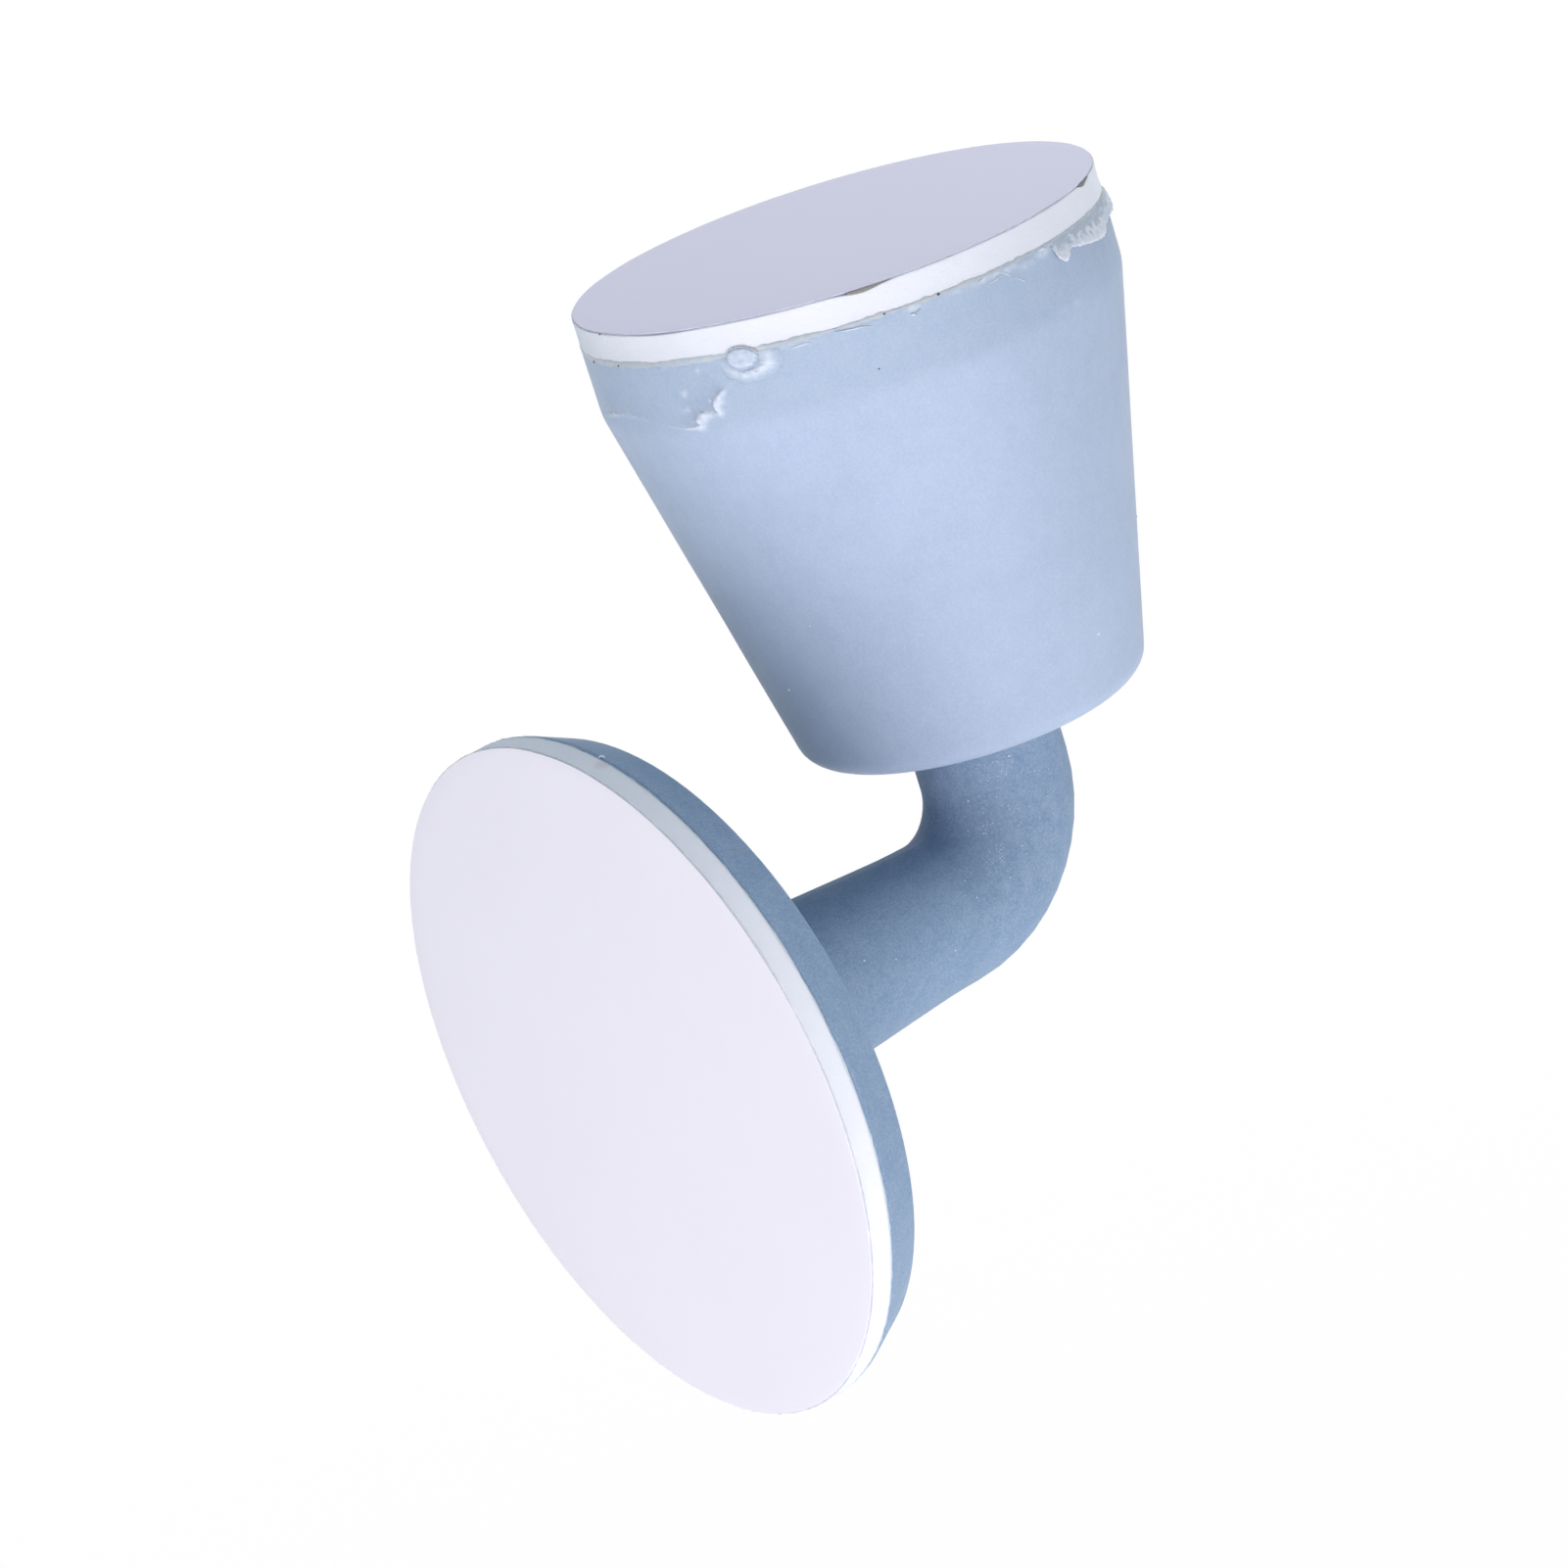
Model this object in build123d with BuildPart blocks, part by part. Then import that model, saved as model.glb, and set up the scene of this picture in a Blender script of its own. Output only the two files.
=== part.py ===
from build123d import *
from math import atan, cos, radians, sin, tan
import os

# Silicone door stop that keeps a door handle off the wall.
# A round adhesive base carries a tapered arm that turns up through an elbow.
# The arm's plain end is pushed into a socket in the narrow end of a cone-shaped bumper.
# The base and the bumper's wide end each hold a foam adhesive pad under a release film.
# The origin is the centre of the base film's outer face, on the wall or door.
# The arm leaves it along +X, and the bumper's wide end faces +Z. Sizes are in millimetres.

# Base
BASE_DIAMETER = 50.0
BASE_BACK_DIAMETER = 46.5
BASE_THICKNESS = 3.5
BASE_FRONT_EDGE_RADIUS = 0.3
BASE_BACK_EDGE_RADIUS = 0.7

# Arm and elbow
ARM_REACH = 35.5
ARM_ROOT_DIAMETER = 13.6
ARM_ROOT_FILLET = 1.0
ARM_DIAMETER = 10.7
ARM_STRAIGHT_LENGTH = 2.0
ELBOW_RADIUS = 7.8
ELBOW_ANGLE = 90.0

# Plug on the arm's end, and the socket it is pushed into
PLUG_DEPTH = 15.7
PLUG_TIP_RADIUS = 1.5
PLUG_SIDE_CLEARANCE = 0.05
PLUG_END_CLEARANCE = 0.3
SOCKET_MOUTH_RADIUS = 0.6

# Bumper, measured along its own axis from the arm's axis
BUMPER_START_HEIGHT = 12.3
BUMPER_NARROW_DIAMETER = 24.8
BUMPER_WIDE_DIAMETER = 37.3
BUMPER_TAPER_HEIGHT = 28.2
BUMPER_BAND_HEIGHT = 5.0
BUMPER_NARROW_EDGE_RADIUS = 1.8
BUMPER_SHOULDER_RADIUS = 2.0
BUMPER_RIM_EDGE_RADIUS = 0.3

# Foam adhesive pads and release films
BASE_FOAM_THICKNESS = 1.6
BUMPER_FOAM_THICKNESS = 2.0
FILM_THICKNESS = 0.1

# The base stands behind its foam and film
foam_front = FILM_THICKNESS
base_front = foam_front + BASE_FOAM_THICKNESS
base_back = base_front + BASE_THICKNESS

# The elbow starts where its arc leaves the arm's axis
elbow_setback = ELBOW_RADIUS * tan(radians(ELBOW_ANGLE) / 2)
elbow_start = ARM_REACH - elbow_setback
taper_end = elbow_start - ARM_STRAIGHT_LENGTH
taper_angle = atan((ARM_ROOT_DIAMETER - ARM_DIAMETER) / 2 / (taper_end - base_back))
taper_blend_radius = 0.9 * ARM_STRAIGHT_LENGTH / tan(taper_angle / 2)

# The bumper's axis rises from the arm's axis at the elbow's angle
turn = radians(ELBOW_ANGLE)
bumper_frame = Plane(
    origin=(ARM_REACH, 0, 0),
    x_dir=(sin(turn), 0, -cos(turn)),
    z_dir=(cos(turn), 0, sin(turn)),
)
bumper_section = Plane(
    origin=bumper_frame.origin,
    x_dir=bumper_frame.x_dir,
    z_dir=-bumper_frame.y_dir,
)
bumper_axis = Axis(bumper_frame.origin, bumper_frame.z_dir)

# Heights along the bumper's axis
narrow_end = BUMPER_START_HEIGHT
shoulder = narrow_end + BUMPER_TAPER_HEIGHT
rim = shoulder + BUMPER_BAND_HEIGHT
plug_tip = narrow_end + PLUG_DEPTH
socket_floor = plug_tip + PLUG_END_CLEARANCE
socket_radius = ARM_DIAMETER / 2 + PLUG_SIDE_CLEARANCE


def corner(sketch, x, y):
    """The sketch's vertex nearest to a point in its own plane."""
    return sketch.vertices().sort_by_distance((x, y))[0]


# Base, tapered arm, elbow and plug, moulded as one piece
with BuildPart() as elbow_arm:
    with BuildSketch(Plane.XZ) as arm_profile:
        with BuildLine():
            Polyline(
                (base_front, 0),
                (base_front, BASE_DIAMETER / 2),
                (base_back, BASE_BACK_DIAMETER / 2),
                (base_back, ARM_ROOT_DIAMETER / 2),
                (taper_end, ARM_DIAMETER / 2),
                (elbow_start, ARM_DIAMETER / 2),
                (elbow_start, 0),
                close=True,
            )
        make_face()
        fillet(corner(arm_profile, base_front, BASE_DIAMETER / 2), BASE_FRONT_EDGE_RADIUS)
        fillet(corner(arm_profile, base_back, BASE_BACK_DIAMETER / 2), BASE_BACK_EDGE_RADIUS)
        fillet(corner(arm_profile, base_back, ARM_ROOT_DIAMETER / 2), ARM_ROOT_FILLET)
        fillet(corner(arm_profile, taper_end, ARM_DIAMETER / 2), taper_blend_radius)
    revolve(axis=Axis.X)

    with BuildLine(Plane.XZ) as elbow_path:
        bend = JernArc((elbow_start, 0), (1, 0), ELBOW_RADIUS, ELBOW_ANGLE)
    with BuildSketch(Plane(bend @ 0, z_dir=bend % 0)):
        Circle(ARM_DIAMETER / 2)
    sweep(path=elbow_path.line)

    with BuildSketch(bumper_section) as plug_profile:
        with BuildLine():
            Polyline(
                (0, elbow_setback),
                (ARM_DIAMETER / 2, elbow_setback),
                (ARM_DIAMETER / 2, plug_tip),
                (0, plug_tip),
                close=True,
            )
        make_face()
        fillet(corner(plug_profile, ARM_DIAMETER / 2, plug_tip), PLUG_TIP_RADIUS)
    revolve(axis=bumper_axis)
elbow_arm.part.label = "elbow_arm"

# Truncated cone with a short straight band at its wide end and a blind socket in its narrow end
with BuildPart() as cone_bumper:
    with BuildSketch(bumper_section) as bumper_profile:
        with BuildLine():
            Polyline(
                (socket_radius, narrow_end),
                (BUMPER_NARROW_DIAMETER / 2, narrow_end),
                (BUMPER_WIDE_DIAMETER / 2, shoulder),
                (BUMPER_WIDE_DIAMETER / 2, rim),
                (0, rim),
                (0, socket_floor),
                (socket_radius, socket_floor),
                close=True,
            )
        make_face()
        fillet(corner(bumper_profile, socket_radius, narrow_end), SOCKET_MOUTH_RADIUS)
        fillet(
            corner(bumper_profile, BUMPER_NARROW_DIAMETER / 2, narrow_end),
            BUMPER_NARROW_EDGE_RADIUS,
        )
        fillet(corner(bumper_profile, BUMPER_WIDE_DIAMETER / 2, shoulder), BUMPER_SHOULDER_RADIUS)
        fillet(corner(bumper_profile, BUMPER_WIDE_DIAMETER / 2, rim), BUMPER_RIM_EDGE_RADIUS)
        fillet(corner(bumper_profile, socket_radius, socket_floor), PLUG_TIP_RADIUS)
    revolve(axis=bumper_axis)
cone_bumper.part.label = "cone_bumper"

# Die-cut foam pads, as wide as the faces they are stuck to
with BuildPart() as base_foam_pad:
    with BuildSketch(Plane.YZ.offset(foam_front)):
        Circle(BASE_DIAMETER / 2)
    extrude(amount=BASE_FOAM_THICKNESS)
base_foam_pad.part.label = "base_foam_pad"

with BuildPart() as bumper_foam_pad:
    with BuildSketch(bumper_frame.offset(rim)):
        Circle(BUMPER_WIDE_DIAMETER / 2)
    extrude(amount=BUMPER_FOAM_THICKNESS)
bumper_foam_pad.part.label = "bumper_foam_pad"

# Release films that are peeled off before the part is stuck down
with BuildPart() as base_release_film:
    with BuildSketch(Plane.YZ):
        Circle(BASE_DIAMETER / 2)
    extrude(amount=FILM_THICKNESS)
base_release_film.part.label = "base_release_film"

with BuildPart() as bumper_release_film:
    with BuildSketch(bumper_frame.offset(rim + BUMPER_FOAM_THICKNESS)):
        Circle(BUMPER_WIDE_DIAMETER / 2)
    extrude(amount=FILM_THICKNESS)
bumper_release_film.part.label = "bumper_release_film"

pieces = [
    elbow_arm,
    cone_bumper,
    base_foam_pad,
    base_release_film,
    bumper_foam_pad,
    bumper_release_film,
]
os.makedirs("parts", exist_ok=True)
for piece in pieces:
    export_step(piece.part, f"parts/{piece.part.label}.step")
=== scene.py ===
import random
from math import atan2, ceil, cos, degrees, exp, hypot, pi, radians, sin, tan

import bmesh
import bpy
from mathutils import Matrix, Vector, noise


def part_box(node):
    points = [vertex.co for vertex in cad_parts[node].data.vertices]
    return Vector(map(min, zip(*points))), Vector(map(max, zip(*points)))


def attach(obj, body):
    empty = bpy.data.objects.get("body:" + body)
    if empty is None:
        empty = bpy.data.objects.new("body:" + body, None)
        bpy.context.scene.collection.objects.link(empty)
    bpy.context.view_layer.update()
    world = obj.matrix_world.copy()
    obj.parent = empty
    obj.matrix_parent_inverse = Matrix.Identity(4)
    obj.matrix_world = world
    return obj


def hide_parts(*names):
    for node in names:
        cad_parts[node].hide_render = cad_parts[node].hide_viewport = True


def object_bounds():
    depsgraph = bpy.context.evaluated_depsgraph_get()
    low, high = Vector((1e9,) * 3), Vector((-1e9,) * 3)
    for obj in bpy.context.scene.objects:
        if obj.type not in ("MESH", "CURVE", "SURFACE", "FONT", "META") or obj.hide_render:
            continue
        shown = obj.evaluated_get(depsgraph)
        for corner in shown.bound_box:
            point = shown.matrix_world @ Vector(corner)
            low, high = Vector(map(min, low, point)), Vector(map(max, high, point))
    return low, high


# Silicone door stop: a round adhesive base, a bent arm and a cone-shaped bumper with its own adhesive pad.
# All pieces are modelled in metres in the CAD model's frame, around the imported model.

bl_info = {
    "name": "Silicone Door Stop",
    "version": (1, 0, 0),
    "blender": (4, 5, 0),
    "location": "View3D > Sidebar > Door Stop",
    "description": "Builds a silicone door stop with two foam adhesive pads around its CAD model",
    "category": "Object",
}

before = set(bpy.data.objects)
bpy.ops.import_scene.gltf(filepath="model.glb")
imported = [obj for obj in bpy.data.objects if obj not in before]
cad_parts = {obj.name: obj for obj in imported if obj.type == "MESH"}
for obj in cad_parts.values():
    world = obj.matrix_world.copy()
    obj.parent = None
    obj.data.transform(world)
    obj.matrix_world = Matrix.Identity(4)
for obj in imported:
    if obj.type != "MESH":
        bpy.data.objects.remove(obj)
cad_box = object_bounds()

MM = 0.001
BODY = "root"
BUMPER_SILICONE = "Silicone rubber, moulded"
ARM_SILICONE = "Silicone rubber, moulded, dusty"

# Places that the CAD model gives
bumper_low, bumper_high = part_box("cone_bumper")
BUMPER_AXIS_X = (bumper_low.x + bumper_high.x) / 2
BUMPER_START = bumper_low.z
RIM_HEIGHT = bumper_high.z
WIDE_RADIUS = (bumper_high.y - bumper_low.y) / 2
bumper_foam_low, bumper_foam_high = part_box("bumper_foam_pad")
bumper_film_low, bumper_film_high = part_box("bumper_release_film")
base_foam_low, base_foam_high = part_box("base_foam_pad")
base_film_low, base_film_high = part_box("base_release_film")
BASE_RADIUS = (base_foam_high.y - base_foam_low.y) / 2
ON_BUMPER = Matrix.Translation((BUMPER_AXIS_X, 0, 0))
ON_BASE = Matrix.Rotation(pi / 2, 4, "Y")
ROUND_Z = {"cent": (0, 0, 0), "axis": (0, 0, 1), "dvec": (0, 0, 0)}

# How far one degree runs round the bumper's band, in mm
ARC_STEP = radians(1) * WIDE_RADIUS / MM

# Mesh densities
MERGE_DISTANCE = 0.0005 * MM
CORNER_SEGMENTS = 7
SECTORS = 12
ROUND_STEPS = 288
FINE_STEPS = 432
RING_STEPS = 720
GATE_STEPS = 96
TUBE_SIDES = 12
TUBE_STEPS = 40
CURL_STEPS = 28
BEAD_SIDES = 16

# Steps of a section along its side and across its faces
BUMPER_STEPS = (0.45 * MM, 2.0 * MM)
FOAM_STEPS = (0.2 * MM, 2.5 * MM)
FILM_STEPS = (0.1 * MM, 1.5 * MM)

# Steps of a strip along and across it
FLASH_GRID = (200, 20)
REMAINS_GRID = (28, 6)
WEDGE_GRID = (24, 4)

# Torn moulding skin on the band. Each row: angle round the bumper from +X towards +Y in degrees,
# height in mm, and how far its lip stands proud and how wide it is in mm.
TORN_EDGE = (
    (-150.6, 43.95, 0.03, 0.25),
    (-152.6, 43.70, 0.015, 0.20),
    (-154.4, 43.38, 0.02, 0.18),
    (-155.1, 43.17, 0.10, 0.22),
    (-156.6, 42.86, 0.17, 0.45),
    (-157.8, 42.60, 0.20, 0.62),
    (-158.5, 42.28, 0.21, 0.68),
    (-158.4, 41.95, 0.20, 0.55),
    (-157.8, 41.70, 0.16, 0.32),
    (-158.6, 41.62, 0.07, 0.20),
    (-160.9, 41.78, 0.15, 0.45),
    (-163.2, 41.64, 0.20, 0.62),
    (-164.0, 41.30, 0.20, 0.68),
    (-163.5, 40.96, 0.14, 0.45),
    (-165.3, 40.85, 0.11, 0.20),
    (-167.4, 40.87, 0.09, 0.14),
    (-169.2, 40.97, 0.03, 0.14),
    (-175.0, 41.25, 0.01, 0.14),
    (-180.0, 41.55, 0.02, 0.14),
    (-186.0, 41.80, 0.06, 0.16),
    (-190.0, 41.72, 0.05, 0.16),
    (-194.6, 41.55, 0.12, 0.16),
    (-197.0, 41.45, 0.07, 0.16),
    (-202.0, 41.30, 0.01, 0.14),
)

# Zones of the band with a finer mesh: angles in degrees and heights in mm
TORN_ZONE = ((-206.0, -140.0), (40.8, 45.1))
RIM_ZONE = ((-140.0, -72.0), (44.4, 45.45))
ZONE_CUTS = 3

# How deep the skin is gone, over how far that evens out, how high a lip is fully white, and how wide the
# white line at the torn edge is, all in mm
TORN_DEPTH = 0.09
TORN_RECOVERY = 1.7
LIP_FULL = 0.16
TORN_LINE = 0.07

# Parting line round the shoulder, in mm
PARTING_PROUD = 0.012
PARTING_WIDTH = 0.14

# Gate vestige: an oval nub with a groove and a raised lip, on the band's rim. Its place is in degrees and mm.
# Each row of its section: share of the nub's half sizes, distance outside the nub in mm, and how far it
# stands off the band in mm
GATE_ANGLE = -148.5
GATE_HEIGHT = 45.03
GATE_HALF_WIDTH = 1.12
GATE_HALF_HEIGHT = 0.72
GATE_TILT = -0.10
GATE_SECTION = (
    (0.0, 0.0, 0.23),
    (0.35, 0.0, 0.24),
    (0.70, 0.0, 0.23),
    (0.88, 0.0, 0.21),
    (0.97, 0.0, 0.17),
    (1.0, 0.05, 0.07),
    (1.0, 0.12, 0.0),
    (1.0, 0.24, 0.0),
    (1.0, 0.30, 0.05),
    (1.0, 0.37, 0.10),
    (1.0, 0.50, 0.12),
    (1.0, 0.68, 0.09),
    (1.0, 0.90, 0.04),
    (1.0, 1.10, 0.0),
    (1.0, 1.25, -0.06),
)

# The groove's painted shade and the lip's painted highlight: distance outside the nub and width in mm. Then
# where the lip starts to rise, and over how far, in mm
GATE_GROOVE_SHADE = (0.16, 0.13)
GATE_LIP_HIGHLIGHT = (0.50, 0.30)
LIP_START = 0.24
LIP_RISE = 0.10

# Adhesive that was pressed out round the nub: half its thickness and its distance in mm, then its length and
# start in degrees
OVER_GATE_RADIUS = 0.07
OVER_GATE_GAP = 0.06
OVER_GATE_SWEEP = 150
OVER_GATE_START = 20
OVER_GATE_DIRT = 0.6

# Flash that hangs from the rim. Each row: angle in degrees, height of its ragged edge in mm, how far that
# edge stands off the band in mm, and how white it is
HANGING_FLASH = (
    (-77.5, 45.20, 0.01, 0.1),
    (-76.4, 44.90, 0.06, 0.4),
    (-75.4, 44.25, 0.13, 0.9),
    (-74.4, 43.82, 0.19, 1.0),
    (-73.2, 43.70, 0.21, 1.0),
    (-72.0, 43.95, 0.18, 0.9),
    (-70.6, 44.30, 0.12, 0.7),
    (-68.6, 44.22, 0.16, 0.8),
    (-66.6, 44.05, 0.22, 1.0),
    (-63.6, 43.86, 0.27, 1.0),
    (-60.2, 43.66, 0.30, 1.0),
    (-57.0, 43.52, 0.33, 1.0),
    (-54.8, 43.62, 0.33, 1.0),
    (-52.4, 43.98, 0.27, 0.9),
    (-49.0, 44.14, 0.24, 0.7),
    (-45.5, 44.12, 0.27, 0.8),
    (-41.0, 44.05, 0.32, 0.9),
    (-37.0, 44.12, 0.34, 0.9),
    (-34.5, 44.60, 0.26, 0.8),
    (-33.0, 45.20, 0.05, 0.3),
)
FLASH_ROOT_HEIGHT = 45.42
FLASH_SUNK = 0.03
FLASH_THICKNESS = 0.07
FLASH_RAGGED = 0.16

# Adhesive pressed out under the bumper's foam. Each row: angle in degrees, amount, and how grubby it is
PRESSED_OUT = (
    (-215, 0.75, 0.3),
    (-195, 0.90, 0.5),
    (-183, 1.00, 0.6),
    (-165, 1.00, 0.4),
    (-154, 0.95, 0.5),
    (-143, 0.60, 0.8),
    (-136, 0.65, 0.9),
    (-129, 0.50, 0.3),
    (-120, 0.45, 0.1),
    (-109, 0.60, 0.3),
    (-99, 0.55, 0.2),
    (-90, 0.60, 0.2),
    (-80, 0.55, 0.3),
    (-66, 0.45, 0.4),
    (-40, 0.45, 0.5),
    (-20, 0.70, 0.5),
    (60, 0.85, 0.4),
    (145, 0.75, 0.3),
)

# The same under the bumper's film, where hardly any shows, and for both of the base's thin lines
FILM_LINE = (
    (-180, 0.50, 0.3),
    (-120, 0.25, 0.1),
    (-60, 0.30, 0.1),
    (60, 0.40, 0.2),
)
THIN_LINE = (
    (-180, 0.55, 0.3),
    (-90, 0.70, 0.6),
    (0, 0.55, 0.3),
    (90, 0.70, 0.5),
)

# Thin remains of flash on the band: start and end angle in degrees and height in mm, width and proud in mm
FLASH_REMAINS = (
    (-138.6, 44.98, -133.4, 45.02, 0.16, 0.04),
    (-128.6, 45.22, -121.0, 44.98, 0.16, 0.09),
    (-113.1, 44.86, -111.5, 44.66, 0.22, 0.12),
    (-111.9, 44.66, -110.6, 44.98, 0.18, 0.12),
    (-97.9, 45.08, -95.7, 45.30, 0.16, 0.08),
    (-95.9, 44.74, -90.5, 44.98, 0.12, 0.05),
    (-91.7, 45.26, -88.6, 44.50, 0.12, 0.06),
    (-88.8, 44.54, -85.4, 43.70, 0.10, 0.05),
    (-80.8, 45.30, -77.9, 45.25, 0.30, 0.10),
)

# Whitish smudges on the band: angle in degrees, then height, half width and half height in mm, and whiteness
SMUDGES = (
    (-193.4, 41.62, 0.14, 0.12, 1.0),
    (-186.9, 41.79, 0.22, 0.06, 0.8),
    (-166.0, 42.06, 0.26, 0.18, 0.45),
    (-165.2, 43.21, 0.28, 0.22, 0.60),
    (-159.9, 44.64, 0.20, 0.16, 0.60),
    (-159.3, 42.50, 0.10, 0.10, 0.9),
    (-135.7, 45.05, 0.80, 0.12, 0.5),
    (-111.6, 45.11, 0.55, 0.20, 0.6),
    (-102.2, 45.20, 0.60, 0.20, 0.5),
    (-96.8, 45.22, 0.70, 0.20, 0.8),
    (-93.2, 45.18, 0.60, 0.20, 0.7),
    (-89.3, 45.12, 0.80, 0.24, 0.6),
    (-84.4, 44.86, 0.80, 0.25, 0.35),
    (-79.3, 45.05, 0.70, 0.28, 0.7),
    (-73.0, 40.80, 0.55, 0.25, 0.30),
    (-77.8, 40.75, 0.50, 0.22, 0.20),
)

# A smudge is too faint to show further from its middle than this, in half sizes squared
FAINT = 6

# Places where the bumper foam's top edge is pressed down under the film: angle and half width in degrees, and
# depth in mm
FOAM_DIPS = (
    (-121.0, 4.2, 0.26),
    (-56.6, 2.6, 0.24),
    (-168.0, 9.0, 0.10),
    (60.0, 6.0, 0.12),
    (148.0, 4.0, 0.10),
)

# Painted shadow in two of those dips: dark wedges that stand for the shade under the film's edge. Each row:
# start and end angle in degrees, height of its top and height of its thickest place in mm. Then its radius
# round the bumper and its depth
SHADOW_WEDGES = (
    (-124.2, -114.6, 47.49, 0.22),
    (-59.0, -52.0, 47.49, 0.17),
)
SHADOW_WEDGE_RADIUS = 18.57
SHADOW_WEDGE_DEPTH = 0.25

# Hair of silicone on the base's side: angle round the base from +Z towards -Y in degrees, then its place
# along X, how deep its ends are sunk, the radius of its bend and its thickness in mm
CURL_ANGLE = 15.3
CURL_PLACE = 1.98
CURL_SUNK = 0.30
CURL_BEND = 0.21
CURL_THICKNESS = 0.11

# Roundings in the bumper's socket, and over how far round the shoulder the cone's colour turns to the band's
SOCKET_FLOOR_RADIUS = 1.5 * MM
SOCKET_MOUTH_RADIUS = 0.6 * MM
BAND_BLEND = (-1.0 * MM, 1.1 * MM)

# How many times further in the base's foam lies than the bumper's, and height and thickness of the thin lines
# of adhesive
BASE_INSET_SHARE = 1.6
BASE_BEAD = (0.16 * MM, 0.12 * MM)
BUMPER_FILM_BEAD = (0.08 * MM, 0.08 * MM)
BASE_FILM_BEAD = (0.10 * MM, 0.10 * MM)

# Rounding of the release films' cut edges
FILM_EDGE_RADIUS = 0.03 * MM

# Middle of a faint stain on the side of the base's foam
STAIN_PLACE = (1.4 * MM, -7.4 * MM, 23.8 * MM)

# Specks of grime and white dust on the bumper: angle in degrees, height in mm, diameter in mm
DARK_SPECKS = (
    (163.9, 45.25, 0.24),
    (176.6, 45.30, 0.20),
    (172.6, 47.50, 0.18),
    (-122.2, 42.05, 0.15),
    (-118.0, 45.42, 0.16),
    (-106.2, 45.44, 0.22),
    (-36.0, 22.4, 0.14),
    (64.0, 31.0, 0.16),
)
WHITE_SPECKS = (
    (178.9, 19.80, 0.26),
    (-79.3, 17.80, 0.24),
    (-160.0, 25.0, 0.12),
    (-131.0, 33.0, 0.12),
    (166.6, 41.62, 0.24),
    (171.8, 41.74, 0.13),
    (20.0, 27.0, 0.18),
    (112.0, 36.0, 0.16),
)

# Shapes that specks are squashed to, in directions of their own, and the lumps on the bumper's specks. Their
# noise is read at three places, one for each direction
LYING_ON_BUMPER = (0.35, 1.0, 0.75, 1.0)
LYING_ON_ARM = (1.0, 0.8, 0.3, 1.0)
LUMP_SIZE = 0.12 * MM
LUMP_HEIGHT = 0.03 * MM
LUMP_SHIFTS = (0.0, 37.3, 71.9)

# Clusters of dust on the arm, and single specks there. In mm: a place near its surface, then the spread and
# count of a cluster or the diameter of a speck
ARM_CLUSTERS = (
    ((31.2, -3.8, 5.7), 0.30, 14),
    ((30.7, -3.7, 5.2), 0.22, 9),
    ((30.8, -4.6, 3.8), 0.35, 14),
    ((30.2, -4.7, 3.2), 0.40, 18),
    ((32.9, -4.4, 8.8), 0.90, 22),
    ((32.4, -4.6, 6.1), 0.90, 16),
    ((31.6, -4.8, 3.4), 1.00, 16),
)
ARM_SPECKS = (
    ((30.9, -2.7, 7.5), 0.17),
    ((32.5, -5.1, 3.6), 0.16),
    ((27.6, -4.4, 3.1), 0.13),
    ((27.7, -5.0, 1.8), 0.15),
    ((24.5, -5.4, -0.7), 0.20),
    ((17.1, -5.6, 2.0), 0.18),
    ((34.0, -4.1, 9.9), 0.18),
    ((30.7, -5.2, 2.0), 0.12),
    ((30.1, -2.8, 5.6), 0.13),
    ((19.5, -5.7, 1.0), 0.14),
)
DUST_DIAMETERS = (0.04, 0.10)
DUST_SEED = 5

# Middle of the dusty part of the arm
DUSTY_PLACE = (BUMPER_AXIS_X - 2 * MM, -5 * MM, 6 * MM)

# Softboxes of one size, all as far from the door stop, in metres. Each row: name, azimuth (0 shines along +Y,
# 90 along -X) and elevation in degrees, and power in watts
SOFTBOX_DISTANCE = 0.30
SOFTBOX_SIDE = 0.18
SOFTBOXES = (
    ("front_low", 0.0, -20.0, 0.365),
    ("front_left_low", -31.0, -20.0, 0.322),
    ("front_left_high", -31.0, 65.0, 0.060),
    ("right_low", 60.0, -20.0, 0.108),
    ("left", -80.0, 5.0, 0.255),
    ("left_low", -90.0, -20.0, 0.268),
    ("top", 100.0, 65.0, 0.400),
)


def linear(hex_colour):
    """Turn an sRGB hex colour into the linear colour that Blender's sockets take."""
    shares = [int(hex_colour[i : i + 2], 16) / 255 for i in (1, 3, 5)]
    return tuple(s / 12.92 if s <= 0.04045 else ((s + 0.055) / 1.055) ** 2.4 for s in shares) + (1.0,)


def a_length(name, metres, description):
    """A length that a user can change."""
    return bpy.props.FloatProperty(name=name, description=description, default=metres, unit="LENGTH")


def an_angle(name, turn, description):
    """An angle, given in degrees, that a user can change."""
    return bpy.props.FloatProperty(name=name, description=description, default=radians(turn), subtype="ANGLE")


def a_share(name, share, description):
    """A share from 0 to 1 that a user can change."""
    return bpy.props.FloatProperty(
        name=name, description=description, default=share, min=0, max=1, subtype="FACTOR"
    )


def a_colour(name, hex_colour, description):
    """A colour that a user can change."""
    return bpy.props.FloatVectorProperty(
        name=name, description=description, default=linear(hex_colour), size=4, subtype="COLOR"
    )


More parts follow.
